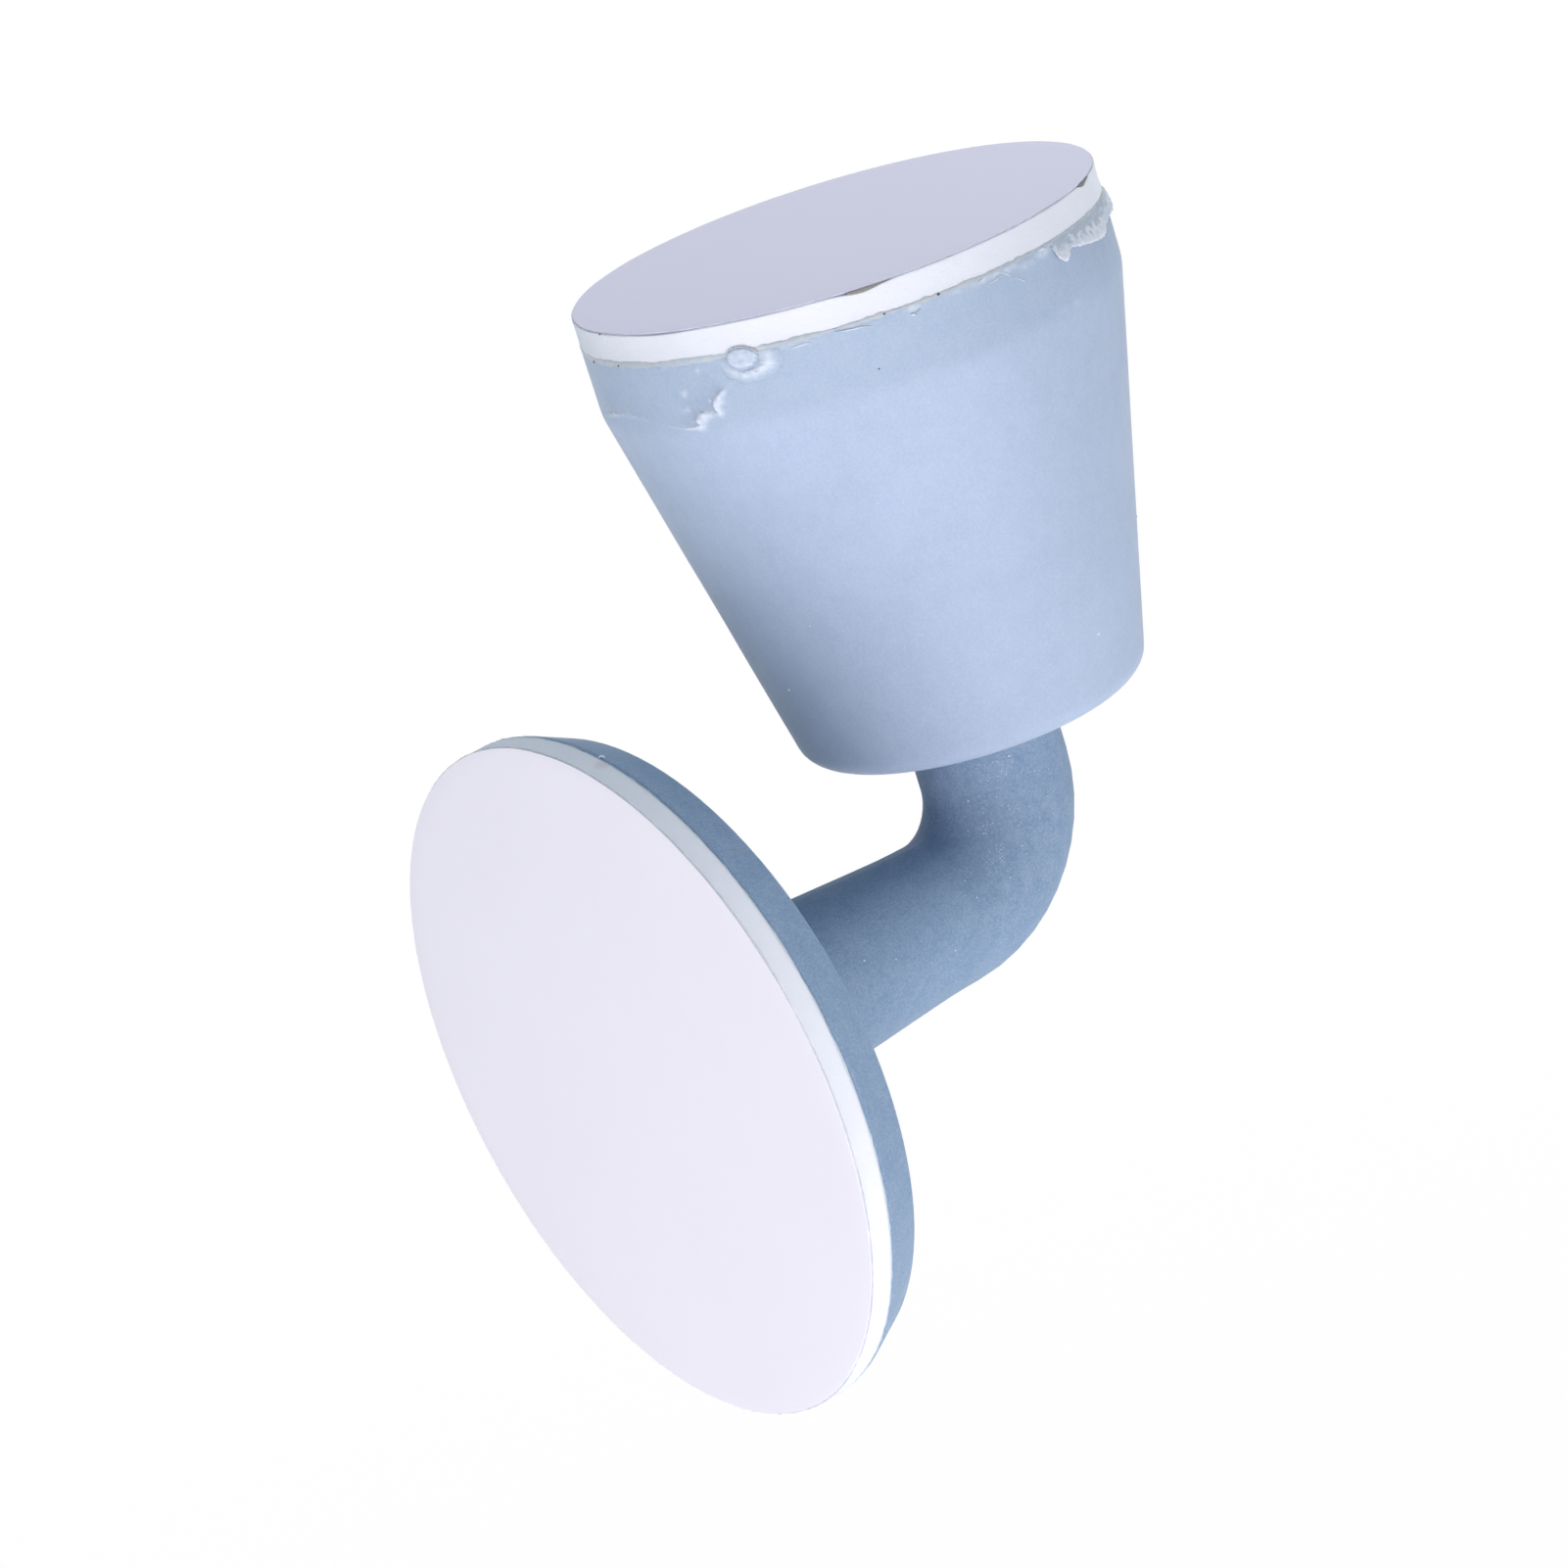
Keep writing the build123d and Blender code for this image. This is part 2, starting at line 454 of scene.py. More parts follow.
class BumperSettings(bpy.types.PropertyGroup):
    """Sizes of the cone-shaped bumper."""

    narrow_diameter: a_length(
        "Narrow diameter", 24.8 * MM, "Diameter of the cone at its narrow end, before its edge is rounded"
    )
    taper_height: a_length("Taper height", 28.2 * MM, "Height of the cone up to its shoulder")
    narrow_edge_radius: a_length("Narrow edge radius", 1.8 * MM, "Rounding of the cone's narrow edge")
    shoulder_radius: a_length("Shoulder radius", 5.0 * MM, "Rounding where the cone meets the straight band")
    rim_edge_radius: a_length("Rim edge radius", 0.12 * MM, "Rounding of the band's edge under the foam pad")
    socket_diameter: a_length("Socket diameter", 10.8 * MM, "Diameter of the socket for the arm's plug")
    socket_depth: a_length("Socket depth", 16.0 * MM, "Depth of the socket from the narrow end")
    flash_room: a_length("Room for flash", 0.04 * MM, "How far the skin lies inside the CAD model's surface")


class PadSettings(bpy.types.PropertyGroup):
    """Sizes of the foam pads, the release films and the adhesive lines."""

    foam_edge_radius: a_length("Foam edge radius", 0.10 * MM, "Rounding of the die-cut foam's edges")
    foam_back_edge_radius: a_length("Foam back edge radius", 0.05 * MM, "Rounding of the foam's stuck edge")
    foam_inset: a_length("Foam inset", 0.07 * MM, "How far the foam lies inside the edge of its face")
    foam_wobble: a_length("Foam wobble", 0.09 * MM, "How unevenly the die cut the foam's side")
    film_inset: a_length("Film inset", 0.06 * MM, "How far the film's edge lies inside the foam's face")
    film_shift: a_length("Film shift", 0.06 * MM, "How far the base's film lies off its centre")
    bead_height: a_length("Adhesive bead height", 0.46 * MM, "Height of the bead along the bumper's foam")
    bead_depth: a_length("Adhesive bead depth", 0.055 * MM, "Thickness of that bead from the band outwards")


class FinishSettings(bpy.types.PropertyGroup):
    """Colours and finishes of the door stop's materials."""

    bumper_colour: a_colour("Bumper silicone", "#ABB6CE", "Colour of the bumper's silicone")
    band_colour: a_colour("Band silicone", "#A9B5CC", "Colour of the band's thinner, clearer silicone")
    arm_colour: a_colour("Arm silicone", "#7A91AE", "Colour of the base's and the arm's silicone")
    torn_colour: a_colour("Torn silicone", "#EEEBF4", "Whitened colour of thin, torn silicone edges")
    silicone_roughness: a_share("Silicone roughness", 0.5, "Roughness of the moulded silicone")
    bumper_gloss: a_share("Bumper gloss", 0.22, "Strength of the reflections on the bumper's silicone")
    arm_gloss: a_share("Arm gloss", 0.10, "Strength of the reflections on the arm's dustier silicone")
    foam_colour: a_colour("Foam", "#ECE6EE", "Colour of the foam pads")
    # The two release films are one film: the bumper's is given darker and bluer, as painted shade on a face
    # that looks up
    bumper_film_shaded_colour: a_colour("Bumper's release film", "#E3DAEC", "Colour of the bumper's release film")
    base_film_colour: a_colour("Base's release film", "#E9DFE7", "Colour of the base's release film")
    adhesive_colour: a_colour("Adhesive", "#CCCAD0", "Colour of the adhesive that shows along the foam")


class StageSettings(bpy.types.PropertyGroup):
    """Camera, floor and light of the studio."""

    lens: bpy.props.FloatProperty(
        name="Lens", description="Focal length of the camera", default=123.673, unit="CAMERA"
    )
    azimuth: an_angle("Azimuth", 31.3698, "Direction of view, from +Y towards +X")
    elevation: an_angle("Elevation", 17.1768, "How far the camera looks down")
    roll: an_angle("Roll", 17.6449, "How far the top of the camera leans to the right")
    camera_place: bpy.props.FloatVectorProperty(
        name="Camera place",
        description="Where the camera stands",
        default=(-164.64 * MM, -300.672 * MM, 122.853 * MM),
        subtype="TRANSLATION",
        unit="LENGTH",
    )
    floor_drop: a_length("Floor drop", 150 * MM, "How far the floor lies under the door stop")
    floor_size: a_length("Floor size", 12.0, "Length of the square floor's side")
    shadow_reach: a_length("Shadow reach", 0.6, "How far from the door stop the floor shows shadows")
    floor_colour: a_colour("Floor", "#F2F2F4", "Colour of the floor")
    ambient_colour: a_colour("Ambient light", "#B5EAFF", "Colour of the light from all around")
    ambient_strength: bpy.props.FloatProperty(
        name="Ambient strength", description="Strength of the light from all around", default=0.27, min=0
    )


# Settings of two nodes: a smooth remap of one value, and a mix of colours, which has its share at socket 0,
# its colours at 6 and 7, and its result at output 2
SMOOTH = {"interpolation_type": "SMOOTHSTEP"}
COLOURS = {"output": 2, "data_type": "RGBA"}


def node(tree, kind, sources=(), output=0, **settings):
    """Add a node, set it up, feed its sockets, named or in order, and give one of its outputs."""
    made = tree.nodes.new("ShaderNode" + kind)
    for name, value in settings.items():
        setattr(made, name, value)
    for socket, source in sources.items() if isinstance(sources, dict) else enumerate(sources):
        if isinstance(source, bpy.types.NodeSocket):
            tree.links.new(source, made.inputs[socket])
        else:
            made.inputs[socket].default_value = source
    return made.outputs[output] if made.outputs else None


def new_material(name):
    """An empty node material, its tree and the place on the piece."""
    material = bpy.data.materials.new(name)
    material.use_nodes = True
    tree = material.node_tree
    tree.nodes.clear()
    return material, tree, node(tree, "TexCoord", output="Object")


def surface(tree, tone, layers, sockets, **settings):
    """Lay each colour over the tone by its share, and give the result and the other sockets to the shader."""
    for share, colour in layers:
        tone = node(tree, "Mix", {0: share, 6: tone, 7: colour}, **COLOURS)
    shader = node(tree, "BsdfPrincipled", {"Base Color": tone, **sockets}, **settings)
    node(tree, "OutputMaterial", {"Surface": shader})


def shaded(colour, share):
    """The same colour, lighter or darker by a share."""
    return tuple(min(1.0, channel * share) for channel in colour[:3]) + (1.0,)


def silicone(name, colour, gloss, band=None, dust_centre=None):
    """Silicone rubber, compression moulded in a spark-eroded mould.

    That gives a matte, slightly cloudy and translucent skin with a fine grain, and white dust clings to it.
    Torn edges and thin flash turn white.
    """
    finish = bpy.context.scene.door_stop_finish
    white = finish.torn_colour
    material, tree, where = new_material(name)
    # The mould's grain is nearer 0.05 mm, which is finer than a pixel, so it is drawn at 0.16 mm
    cloud, mottle, grain, bloom, sheen = (
        node(tree, "TexNoise", {"Vector": where, "Scale": 1 / size, "Detail": detail, "Roughness": rough})
        for size, detail, rough in (
            (9 * MM, 3.0, 0.55),
            (1.3 * MM, 3.0, 0.6),
            (0.16 * MM, 2.0, 0.6),
            (0.8 * MM, 3.0, 0.7),
            (5 * MM, 3.0, 0.6),
        )
    )
    layers = [(node(tree, "MapRange", (cloud, 0.35, 0.65), **SMOOTH), shaded(colour, 1.02))]
    if band:
        start, end, band_colour = band
        height = node(tree, "SeparateXYZ", (where,), "Z")
        in_band = node(tree, "MapRange", (height, start, end), **SMOOTH)
        # The thin attribute gives a darker band tone: under the torn skin and at the flash's root, where the
        # silicone is thin, and in the gate's groove, where it is painted shade
        thin = node(tree, "Attribute", output="Fac", attribute_name="thin")
        # The rim's last 0.6 mm is frosted in patches, where flash was rubbed off
        rim = node(tree, "MapRange", (height, RIM_HEIGHT - 0.7 * MM, RIM_HEIGHT - 0.1 * MM), **SMOOTH)
        patch = {"Vector": where, "Scale": 1 / (0.9 * MM), "Detail": 3.0, "Roughness": 0.65}
        rubbed = node(tree, "MapRange", (node(tree, "TexNoise", patch), 0.48, 0.70, 0.0, 0.40), **SMOOTH)
        frosted = node(tree, "Math", (rim, rubbed), operation="MULTIPLY")
        layers += [(in_band, band_colour), (thin, shaded(band_colour, 0.80)), (frosted, white)]
    # White dust of about 0.1 mm, one in each cell of 0.5 mm that the surface happens to cut
    cells = node(tree, "TexVoronoi", {"Vector": where, "Scale": 1 / (0.5 * MM)}, "Distance")
    dust = node(tree, "MapRange", (cells, 0.06, 0.13, 0.40, 0.0), **SMOOTH)
    bloom = node(tree, "MapRange", (bloom, 0.40, 0.75, 0.0, 0.07), **SMOOTH)
    dust = node(tree, "Math", (dust, bloom), operation="MAXIMUM")
    if dust_centre:
        away = node(tree, "VectorMath", (where, dust_centre), "Value", operation="DISTANCE")
        near = node(tree, "MapRange", (away, 4 * MM, 14 * MM, 1.0, 0.08), **SMOOTH)
    else:
        near = node(tree, "MapRange", (cloud, 0.52, 0.66, 0.05, 0.35), **SMOOTH)
    layers += [
        (node(tree, "MapRange", (mottle, 0.3, 0.7, 0.02, 0.07), **SMOOTH), white),
        (node(tree, "MapRange", (grain, 0.35, 0.70, 0.0, 0.12), **SMOOTH), white),
        (node(tree, "Math", (dust, near), operation="MULTIPLY"), white),
        (node(tree, "Attribute", output="Fac", attribute_name="torn"), white),
    ]
    rough = finish.silicone_roughness
    fine = node(tree, "Bump", {"Strength": 0.35, "Distance": 0.012 * MM, "Height": grain})
    uneven = node(tree, "Bump", {"Strength": 0.4, "Distance": 0.05 * MM, "Height": mottle, "Normal": fine})
    sockets = {
        "Roughness": node(tree, "MapRange", (sheen, 0.3, 0.7, rough - 0.05, rough + 0.06), **SMOOTH),
        "IOR": 1.41,
        "Subsurface Weight": 0.25,
        "Subsurface Radius": (1.0, 1.15, 1.35),
        "Subsurface Scale": 1.2 * MM,
        "Specular IOR Level": gloss,
        "Sheen Weight": 0.05,
        "Sheen Roughness": 0.5,
        "Normal": uneven,
    }
    surface(tree, shaded(colour, 0.98), layers, sockets, subsurface_method="RANDOM_WALK")
    return material


def foam_material():
    """Closed-cell polyethylene foam tape, die cut.

    That gives a matte white side with fine cut cells, which the light goes into a little.
    """
    foam = bpy.context.scene.door_stop_finish.foam_colour
    material, tree, where = new_material("Polyethylene foam, die cut")
    cloud = node(tree, "TexNoise", {"Vector": where, "Scale": 1 / (4 * MM)})
    # Cells of about 0.25 mm, which give the bump. Their pits are painted slightly darker, as painted shade
    cells = node(tree, "TexVoronoi", {"Vector": where, "Scale": 1 / (0.25 * MM)}, "Distance")
    pit = node(tree, "MapRange", (cells, 0.0, 0.7), **SMOOTH)
    # A faint pink stain on the base's pad
    away = node(tree, "VectorMath", (where, STAIN_PLACE), "Value", operation="DISTANCE")
    layers = (
        (node(tree, "MapRange", (cloud, 0.35, 0.65), **SMOOTH), foam),
        (node(tree, "MapRange", (pit, 0.0, 0.35, 0.10, 0.0), **SMOOTH), shaded(foam, 0.80)),
        (node(tree, "MapRange", (away, 0.15 * MM, 0.80 * MM, 0.38, 0.0), **SMOOTH), linear("#C8B0B4")),
    )
    sockets = {
        "Roughness": 0.85,
        "IOR": 1.5,
        "Specular IOR Level": 0.3,
        "Subsurface Weight": 0.2,
        "Subsurface Radius": (1.0, 1.0, 1.0),
        "Subsurface Scale": 0.6 * MM,
        "Sheen Weight": 0.5,
        "Sheen Roughness": 0.5,
        "Normal": node(tree, "Bump", {"Strength": 0.35, "Distance": 0.03 * MM, "Height": pit}),
    }
    surface(tree, shaded(foam, 0.975), layers, sockets, subsurface_method="RANDOM_WALK")
    return material


def film_material(name, colour):
    """Polyester release film, silicone coated.

    That gives a smooth satin sheet with a soft gloss that waves a little where the foam under it is uneven.
    """
    material, tree, where = new_material(name)
    cloud = node(tree, "TexNoise", {"Vector": where, "Scale": 1 / (12 * MM)})
    wave = node(tree, "TexNoise", {"Vector": where, "Scale": 1 / (7 * MM), "Detail": 1.0, "Roughness": 0.4})
    layers = ((node(tree, "MapRange", (cloud, 0.3, 0.7), **SMOOTH), colour),)
    sockets = {
        "Roughness": 0.5,
        "IOR": 1.45,
        "Specular IOR Level": 0.35,
        "Normal": node(tree, "Bump", {"Strength": 0.2, "Distance": 0.1 * MM, "Height": wave}),
    }
    surface(tree, shaded(colour, 0.99), layers, sockets)
    return material


def adhesive_material():
    """Acrylic adhesive, pressed out from under the foam and aged.

    That gives a translucent, slightly glossy and grubby line of beige-grey. It is clear in patches, and where
    it runs out thin, so the silicone's colour comes through.
    """
    material, tree, where = new_material("Acrylic adhesive, aged")
    blotch, patch = (
        node(tree, "TexNoise", {"Vector": where, "Scale": 1 / size, "Detail": 3.0, "Roughness": rough})
        for size, rough in ((0.9 * MM, 0.6), (0.5 * MM, 0.65))
    )
    dirt = node(tree, "Attribute", output="Fac", attribute_name="dirt")
    grubby = node(tree, "MapRange", (blotch, 0.40, 0.68), **SMOOTH)
    pressed = node(tree, "Attribute", output="Fac", attribute_name="pressed")
    clear = node(tree, "MapRange", (patch, 0.44, 0.62, 0.0, 0.85), **SMOOTH)
    layers = (
        (node(tree, "Math", (grubby, dirt), operation="MULTIPLY"), linear("#C2BABC")),
        (node(tree, "Math", (clear, pressed), operation="MAXIMUM"), linear("#B8C1CE")),
    )
    sockets = {
        "Roughness": 0.38,
        "IOR": 1.47,
        "Subsurface Weight": 0.3,
        "Subsurface Radius": (1.0, 0.9, 0.8),
        "Subsurface Scale": 0.4 * MM,
    }
    surface(tree, bpy.context.scene.door_stop_finish.adhesive_colour, layers, sockets)
    return material


def speck_material(name, hex_colour):
    """Dust and lint that has settled on the silicone, which gives tiny matte specks. It also colours the dark
    wedges of painted shadow under the bumper's film.
    """
    material, tree, where = new_material(name)
    colour = linear(hex_colour)
    blotch = node(tree, "TexNoise", {"Vector": where, "Scale": 1 / (0.1 * MM)})
    surface(tree, shaded(colour, 0.8), ((blotch, shaded(colour, 1.15)),), {"Roughness": 0.9})
    return material


def finished(bm, name, material, place=None, replaces=()):
    """Put a bmesh in place, inside the CAD model's box, as a smooth piece that rides on the door stop."""
    if place is not None:
        bmesh.ops.transform(bm, matrix=place, verts=bm.verts)
    for vert in bm.verts:
        vert.co = [clamp(at, least, most) for at, least, most in zip(vert.co, *cad_box)]
    for face in bm.faces:
        face.smooth = True
    mesh = bpy.data.meshes.new(name)
    bm.to_mesh(mesh)
    bm.free()
    mesh.materials.append(material)
    piece = bpy.data.objects.new(name, mesh)
    bpy.context.scene.collection.objects.link(piece)
    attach(piece, BODY)
    if replaces:
        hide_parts(*replaces)
    return piece


def joined(bm, part):
    """Move a part's shape into a bmesh."""
    mesh = bpy.data.meshes.new("part")
    part.to_mesh(mesh)
    part.free()
    bm.from_mesh(mesh)
    bpy.data.meshes.remove(mesh)


def clamp(value, low=0.0, high=1.0):
    """The value, kept between two limits."""
    return min(max(value, low), high)


def bell(away, width):
    """1 in the middle of something, falling softly to nothing over its width."""
    return exp(-((away / width) ** 2))


def wander(x, y=0.0, z=0.0):
    """Soft noise at a place, from about -1 to 1."""
    return noise.noise(Vector((x, y, z)))


def ring_noise(turn, coarse, seed):
    """Soft noise round a circle, which closes on itself."""
    return wander(cos(turn) * coarse, sin(turn) * coarse, seed)


def section(bm, corners, side_step, face_step):
    """Draw a wire through (radius, height, corner radius) points, round its corners and divide its runs."""
    places = [Vector((radius, 0, height)) for radius, height, _ in corners]
    points = [bm.verts.new(place) for place in places]
    for start, end in zip(points, points[1:]):
        bm.edges.new((start, end))
    for i in range(1, len(corners) - 1):
        corner_radius = corners[i][2]
        if corner_radius:
            turn = (places[i] - places[i - 1]).angle(places[i + 1] - places[i])
            bmesh.ops.bevel(
                bm,
                geom=[points[i]],
                offset=corner_radius * tan(turn / 2),
                offset_type="OFFSET",
                segments=CORNER_SEGMENTS,
                profile=0.5,
                affect="VERTICES",
                material=-1,
            )
    for edge in list(bm.edges):
        run = edge.verts[1].co - edge.verts[0].co
        step = side_step if abs(run.z) > abs(run.x) else face_step
        cuts = ceil(run.length / step) - 1
        if cuts > 0:
            bmesh.ops.subdivide_edges(bm, edges=[edge], cuts=cuts)


def turned(bm, steps):
    """Spin a wire into a sector, repeat that round the Z axis, close its seams, and face it outwards."""
    sector = 2 * pi / SECTORS
    wire = bm.verts[:] + bm.edges[:]
    bmesh.ops.spin(bm, geom=wire, angle=sector, steps=steps // SECTORS, use_merge=False, **ROUND_Z)
    wedge = bm.verts[:] + bm.edges[:] + bm.faces[:]
    bmesh.ops.spin(bm, geom=wedge, angle=2 * pi - sector, steps=SECTORS - 1, use_duplicate=True, **ROUND_Z)
    bmesh.ops.remove_doubles(bm, verts=bm.verts, dist=MERGE_DISTANCE)
    bmesh.ops.recalc_face_normals(bm, faces=bm.faces)


def upright_circle(bm, sides, radius):
    """A circle in the XZ plane, ready to be moved out and spun."""
    bmesh.ops.create_circle(bm, segments=sides, radius=radius)
    bmesh.ops.rotate(bm, cent=(0, 0, 0), matrix=Matrix.Rotation(pi / 2, 3, "X"), verts=bm.verts)


def bent_tube(bm, bend, tube, angle, steps):
    """A closed round tube, bent about the Z axis from +X towards +Y."""
    upright_circle(bm, TUBE_SIDES, tube)
    bmesh.ops.translate(bm, vec=(bend, 0, 0), verts=bm.verts)
    ring = bm.verts[:] + bm.edges[:]
    bmesh.ops.spin(bm, geom=ring, angle=angle, steps=steps, use_merge=False, **ROUND_Z)
    bmesh.ops.holes_fill(bm, edges=bm.edges, sides=0)
    bmesh.ops.recalc_face_normals(bm, faces=bm.faces)


def ribbon(bm, grid):
    """A flat strip to be shaped, with how far each vertex is along and across it."""
    bmesh.ops.create_grid(bm, x_segments=grid[0], y_segments=grid[1], size=0.5)
    return [(vert, vert.co.x + 0.5, vert.co.y + 0.5) for vert in bm.verts]


def wrap_on_band(bm, band_radius, angle=0.0, height=0.0):
    """Bend a flat piece round the band: its X runs round it, its Y up it, and its Z stands off it."""
    for vert in bm.verts:
        turn = radians(angle) + vert.co.x / band_radius
        reach = band_radius + vert.co.z
        vert.co = (reach * cos(turn), reach * sin(turn), height + vert.co.y)


def along(rows, share):
    """The row at a share of a table's length, between its two nearest rows."""
    place = share * (len(rows) - 1)
    i = min(int(place), len(rows) - 2)
    return [a + (b - a) * (place - i) for a, b in zip(rows[i], rows[i + 1])]


def at_angle(rows, angle):
    """The values of a table at an angle, between its two nearest rows, which run once round."""
    closed = rows + ((rows[0][0] + 360, *rows[0][1:]),)
    while angle < rows[0][0]:
        angle += 360
    for low, high in zip(closed, closed[1:]):
        if low[0] <= angle <= high[0]:
            share = (angle - low[0]) / (high[0] - low[0])
            return [a + (b - a) * share for a, b in zip(low[1:], high[1:])]
    return at_angle(rows, angle - 360)


def from_torn_edge(arc, height):
    """How far the torn edge is, its lip and width there, and whether the skin is gone at the point. In mm."""
    nearest, lip, width, gone = 1e9, 0.0, 0.1, False
    rows = [(angle * ARC_STEP, *row) for angle, *row in TORN_EDGE]
    for (x0, y0, lip0, width0), (x1, y1, lip1, width1) in zip(rows, rows[1:]):
        run_x, run_y = x1 - x0, y1 - y0
        share = clamp(((arc - x0) * run_x + (height - y0) * run_y) / (run_x**2 + run_y**2))
        distance = hypot(arc - x0 - share * run_x, height - y0 - share * run_y)
        if distance < nearest:
            nearest = distance
            lip = lip0 + (lip1 - lip0) * share
            width = width0 + (width1 - width0) * share
        if (x0 > arc) != (x1 > arc) and height > y0 + (arc - x0) * run_y / run_x:
            gone = not gone
    return nearest, lip, width, gone


def smudge_at(arc, height, grit):
    """How white the smudges on the band are at a point. In mm."""
    whiteness = 0.0
    for angle, level, half_width, half_height, strength in SMUDGES:
        off = (arc - angle * ARC_STEP) / half_width
        away = off**2 + ((height - level) / half_height) ** 2
        if away < FAINT:
            whiteness = max(whiteness, strength * exp(-away) * grit)
    return min(1.0, whiteness)


def zone_angle(co):
    """The angle round the bumper, run on below -180 degrees so that the torn zone is in one piece."""
    turn = atan2(co.y, co.x)
    return turn - 2 * pi if turn > pi / 2 else turn


def in_zone(co, zone, margin=0.0):
    """Whether a place lies between a zone's angles and its heights, widened by a margin in mm."""
    (start, end), (low, high) = zone
    between = (low - margin) * MM < co.z < (high + margin) * MM
    return between and radians(start) < zone_angle(co) < radians(end)


def sculpt_bumper(bm, band_radius, shoulder):
    """Give the turned bumper its torn skin, its parting line and a slightly uneven moulded surface."""
    zone = []
    for face in bm.faces:
        co = face.calc_center_median()
        on_band = hypot(co.x, co.y) > 0.95 * band_radius
        if on_band and (in_zone(co, TORN_ZONE) or in_zone(co, RIM_ZONE)):
            zone.append(face)
    edges = dict.fromkeys(edge for face in zone for edge in face.edges)
    bmesh.ops.subdivide_edges(bm, edges=list(edges), cuts=ZONE_CUTS, use_grid_fill=True)
    torn = bm.verts.layers.float.new("torn")
    thin = bm.verts.layers.float.new("thin")
    for vert in bm.verts:
        reach = hypot(vert.co.x, vert.co.y)
        # The socket and the inner part of both ends stay as they are
        if reach < 0.6 * band_radius * (0.6 + 0.4 * vert.co.z / RIM_HEIGHT):
            continue
        height = vert.co.z
        if shoulder + 0.6 * MM < height < RIM_HEIGHT - 0.35 * MM:
            reach = band_radius
        arc = zone_angle(vert.co) * WIDE_RADIUS / MM
        proud = 0.02 * MM * (noise.noise(vert.co / (7 * MM)) - 1)
        strength = 0.55 + 0.6 * noise.noise(vert.co / (4 * MM))
        proud += PARTING_PROUD * MM * bell((height - shoulder) / MM, PARTING_WIDTH) * max(strength, 0.1)
        if in_zone(vert.co, TORN_ZONE, 0.3):
            distance, lip, width, gone = from_torn_edge(arc, height / MM)
            grit = 0.8 + 0.5 * noise.noise(vert.co / (0.35 * MM))
            full = min(1.0, lip / LIP_FULL)
            if gone:
                share = exp(-distance / TORN_RECOVERY) * full
                proud -= TORN_DEPTH * MM * share
                vert[thin] = min(1.0, 0.9 * share * grit)
                vert[torn] = full * bell(distance, TORN_LINE)
            else:
                proud += lip * MM * bell(distance, width) * grit
                vert[torn] = min(1.0, full * bell(distance, width) * grit)
        if height > shoulder:
            grit = 0.75 + 0.6 * noise.noise(vert.co / (0.30 * MM))
            drift = 0.14 * noise.noise(vert.co / (0.45 * MM))
            vert[torn] = max(vert[torn], smudge_at(arc + drift, height / MM - drift, grit))
        reach = (reach + proud) / hypot(vert.co.x, vert.co.y)
        vert.co.x *= reach
        vert.co.y *= reach


class DOORSTOP_OT_cone_bumper(bpy.types.Operator):
    """Build the cone-shaped bumper with its socket, band, parting line and torn moulding skin"""

    bl_idname = "door_stop.cone_bumper"
    bl_label = "Cone bumper"

    def execute(self, context):
        sizes = context.scene.door_stop_bumper
        finish = context.scene.door_stop_finish
        wide = WIDE_RADIUS - sizes.flash_room
        narrow = sizes.narrow_diameter / 2 - sizes.flash_room
        socket = sizes.socket_diameter / 2
        shoulder = BUMPER_START + sizes.taper_height
        socket_floor = BUMPER_START + sizes.socket_depth
        bm = bmesh.new()
        corners = (
            (0, socket_floor, 0),
            (socket, socket_floor, SOCKET_FLOOR_RADIUS),
            (socket, BUMPER_START, SOCKET_MOUTH_RADIUS),
            (narrow, BUMPER_START, sizes.narrow_edge_radius),
            (wide, shoulder, sizes.shoulder_radius),
            (wide, RIM_HEIGHT, sizes.rim_edge_radius),
            (0, RIM_HEIGHT, 0),
        )
        section(bm, corners, *BUMPER_STEPS)
        turned(bm, ROUND_STEPS)
        sculpt_bumper(bm, wide, shoulder)
        band = (shoulder + BAND_BLEND[0], shoulder + BAND_BLEND[1], finish.band_colour)
        material = silicone(BUMPER_SILICONE, finish.bumper_colour, finish.bumper_gloss, band)
        finished(bm, "cone_bumper_skin", material, ON_BUMPER, ["cone_bumper"])
        return {"FINISHED"}


def bumper_silicone():
    """The bumper's own material, which its flash and nub share."""
    material = bpy.data.materials.get(BUMPER_SILICONE)
    if material is None:
        raise RuntimeError("build the cone bumper first")
    return material


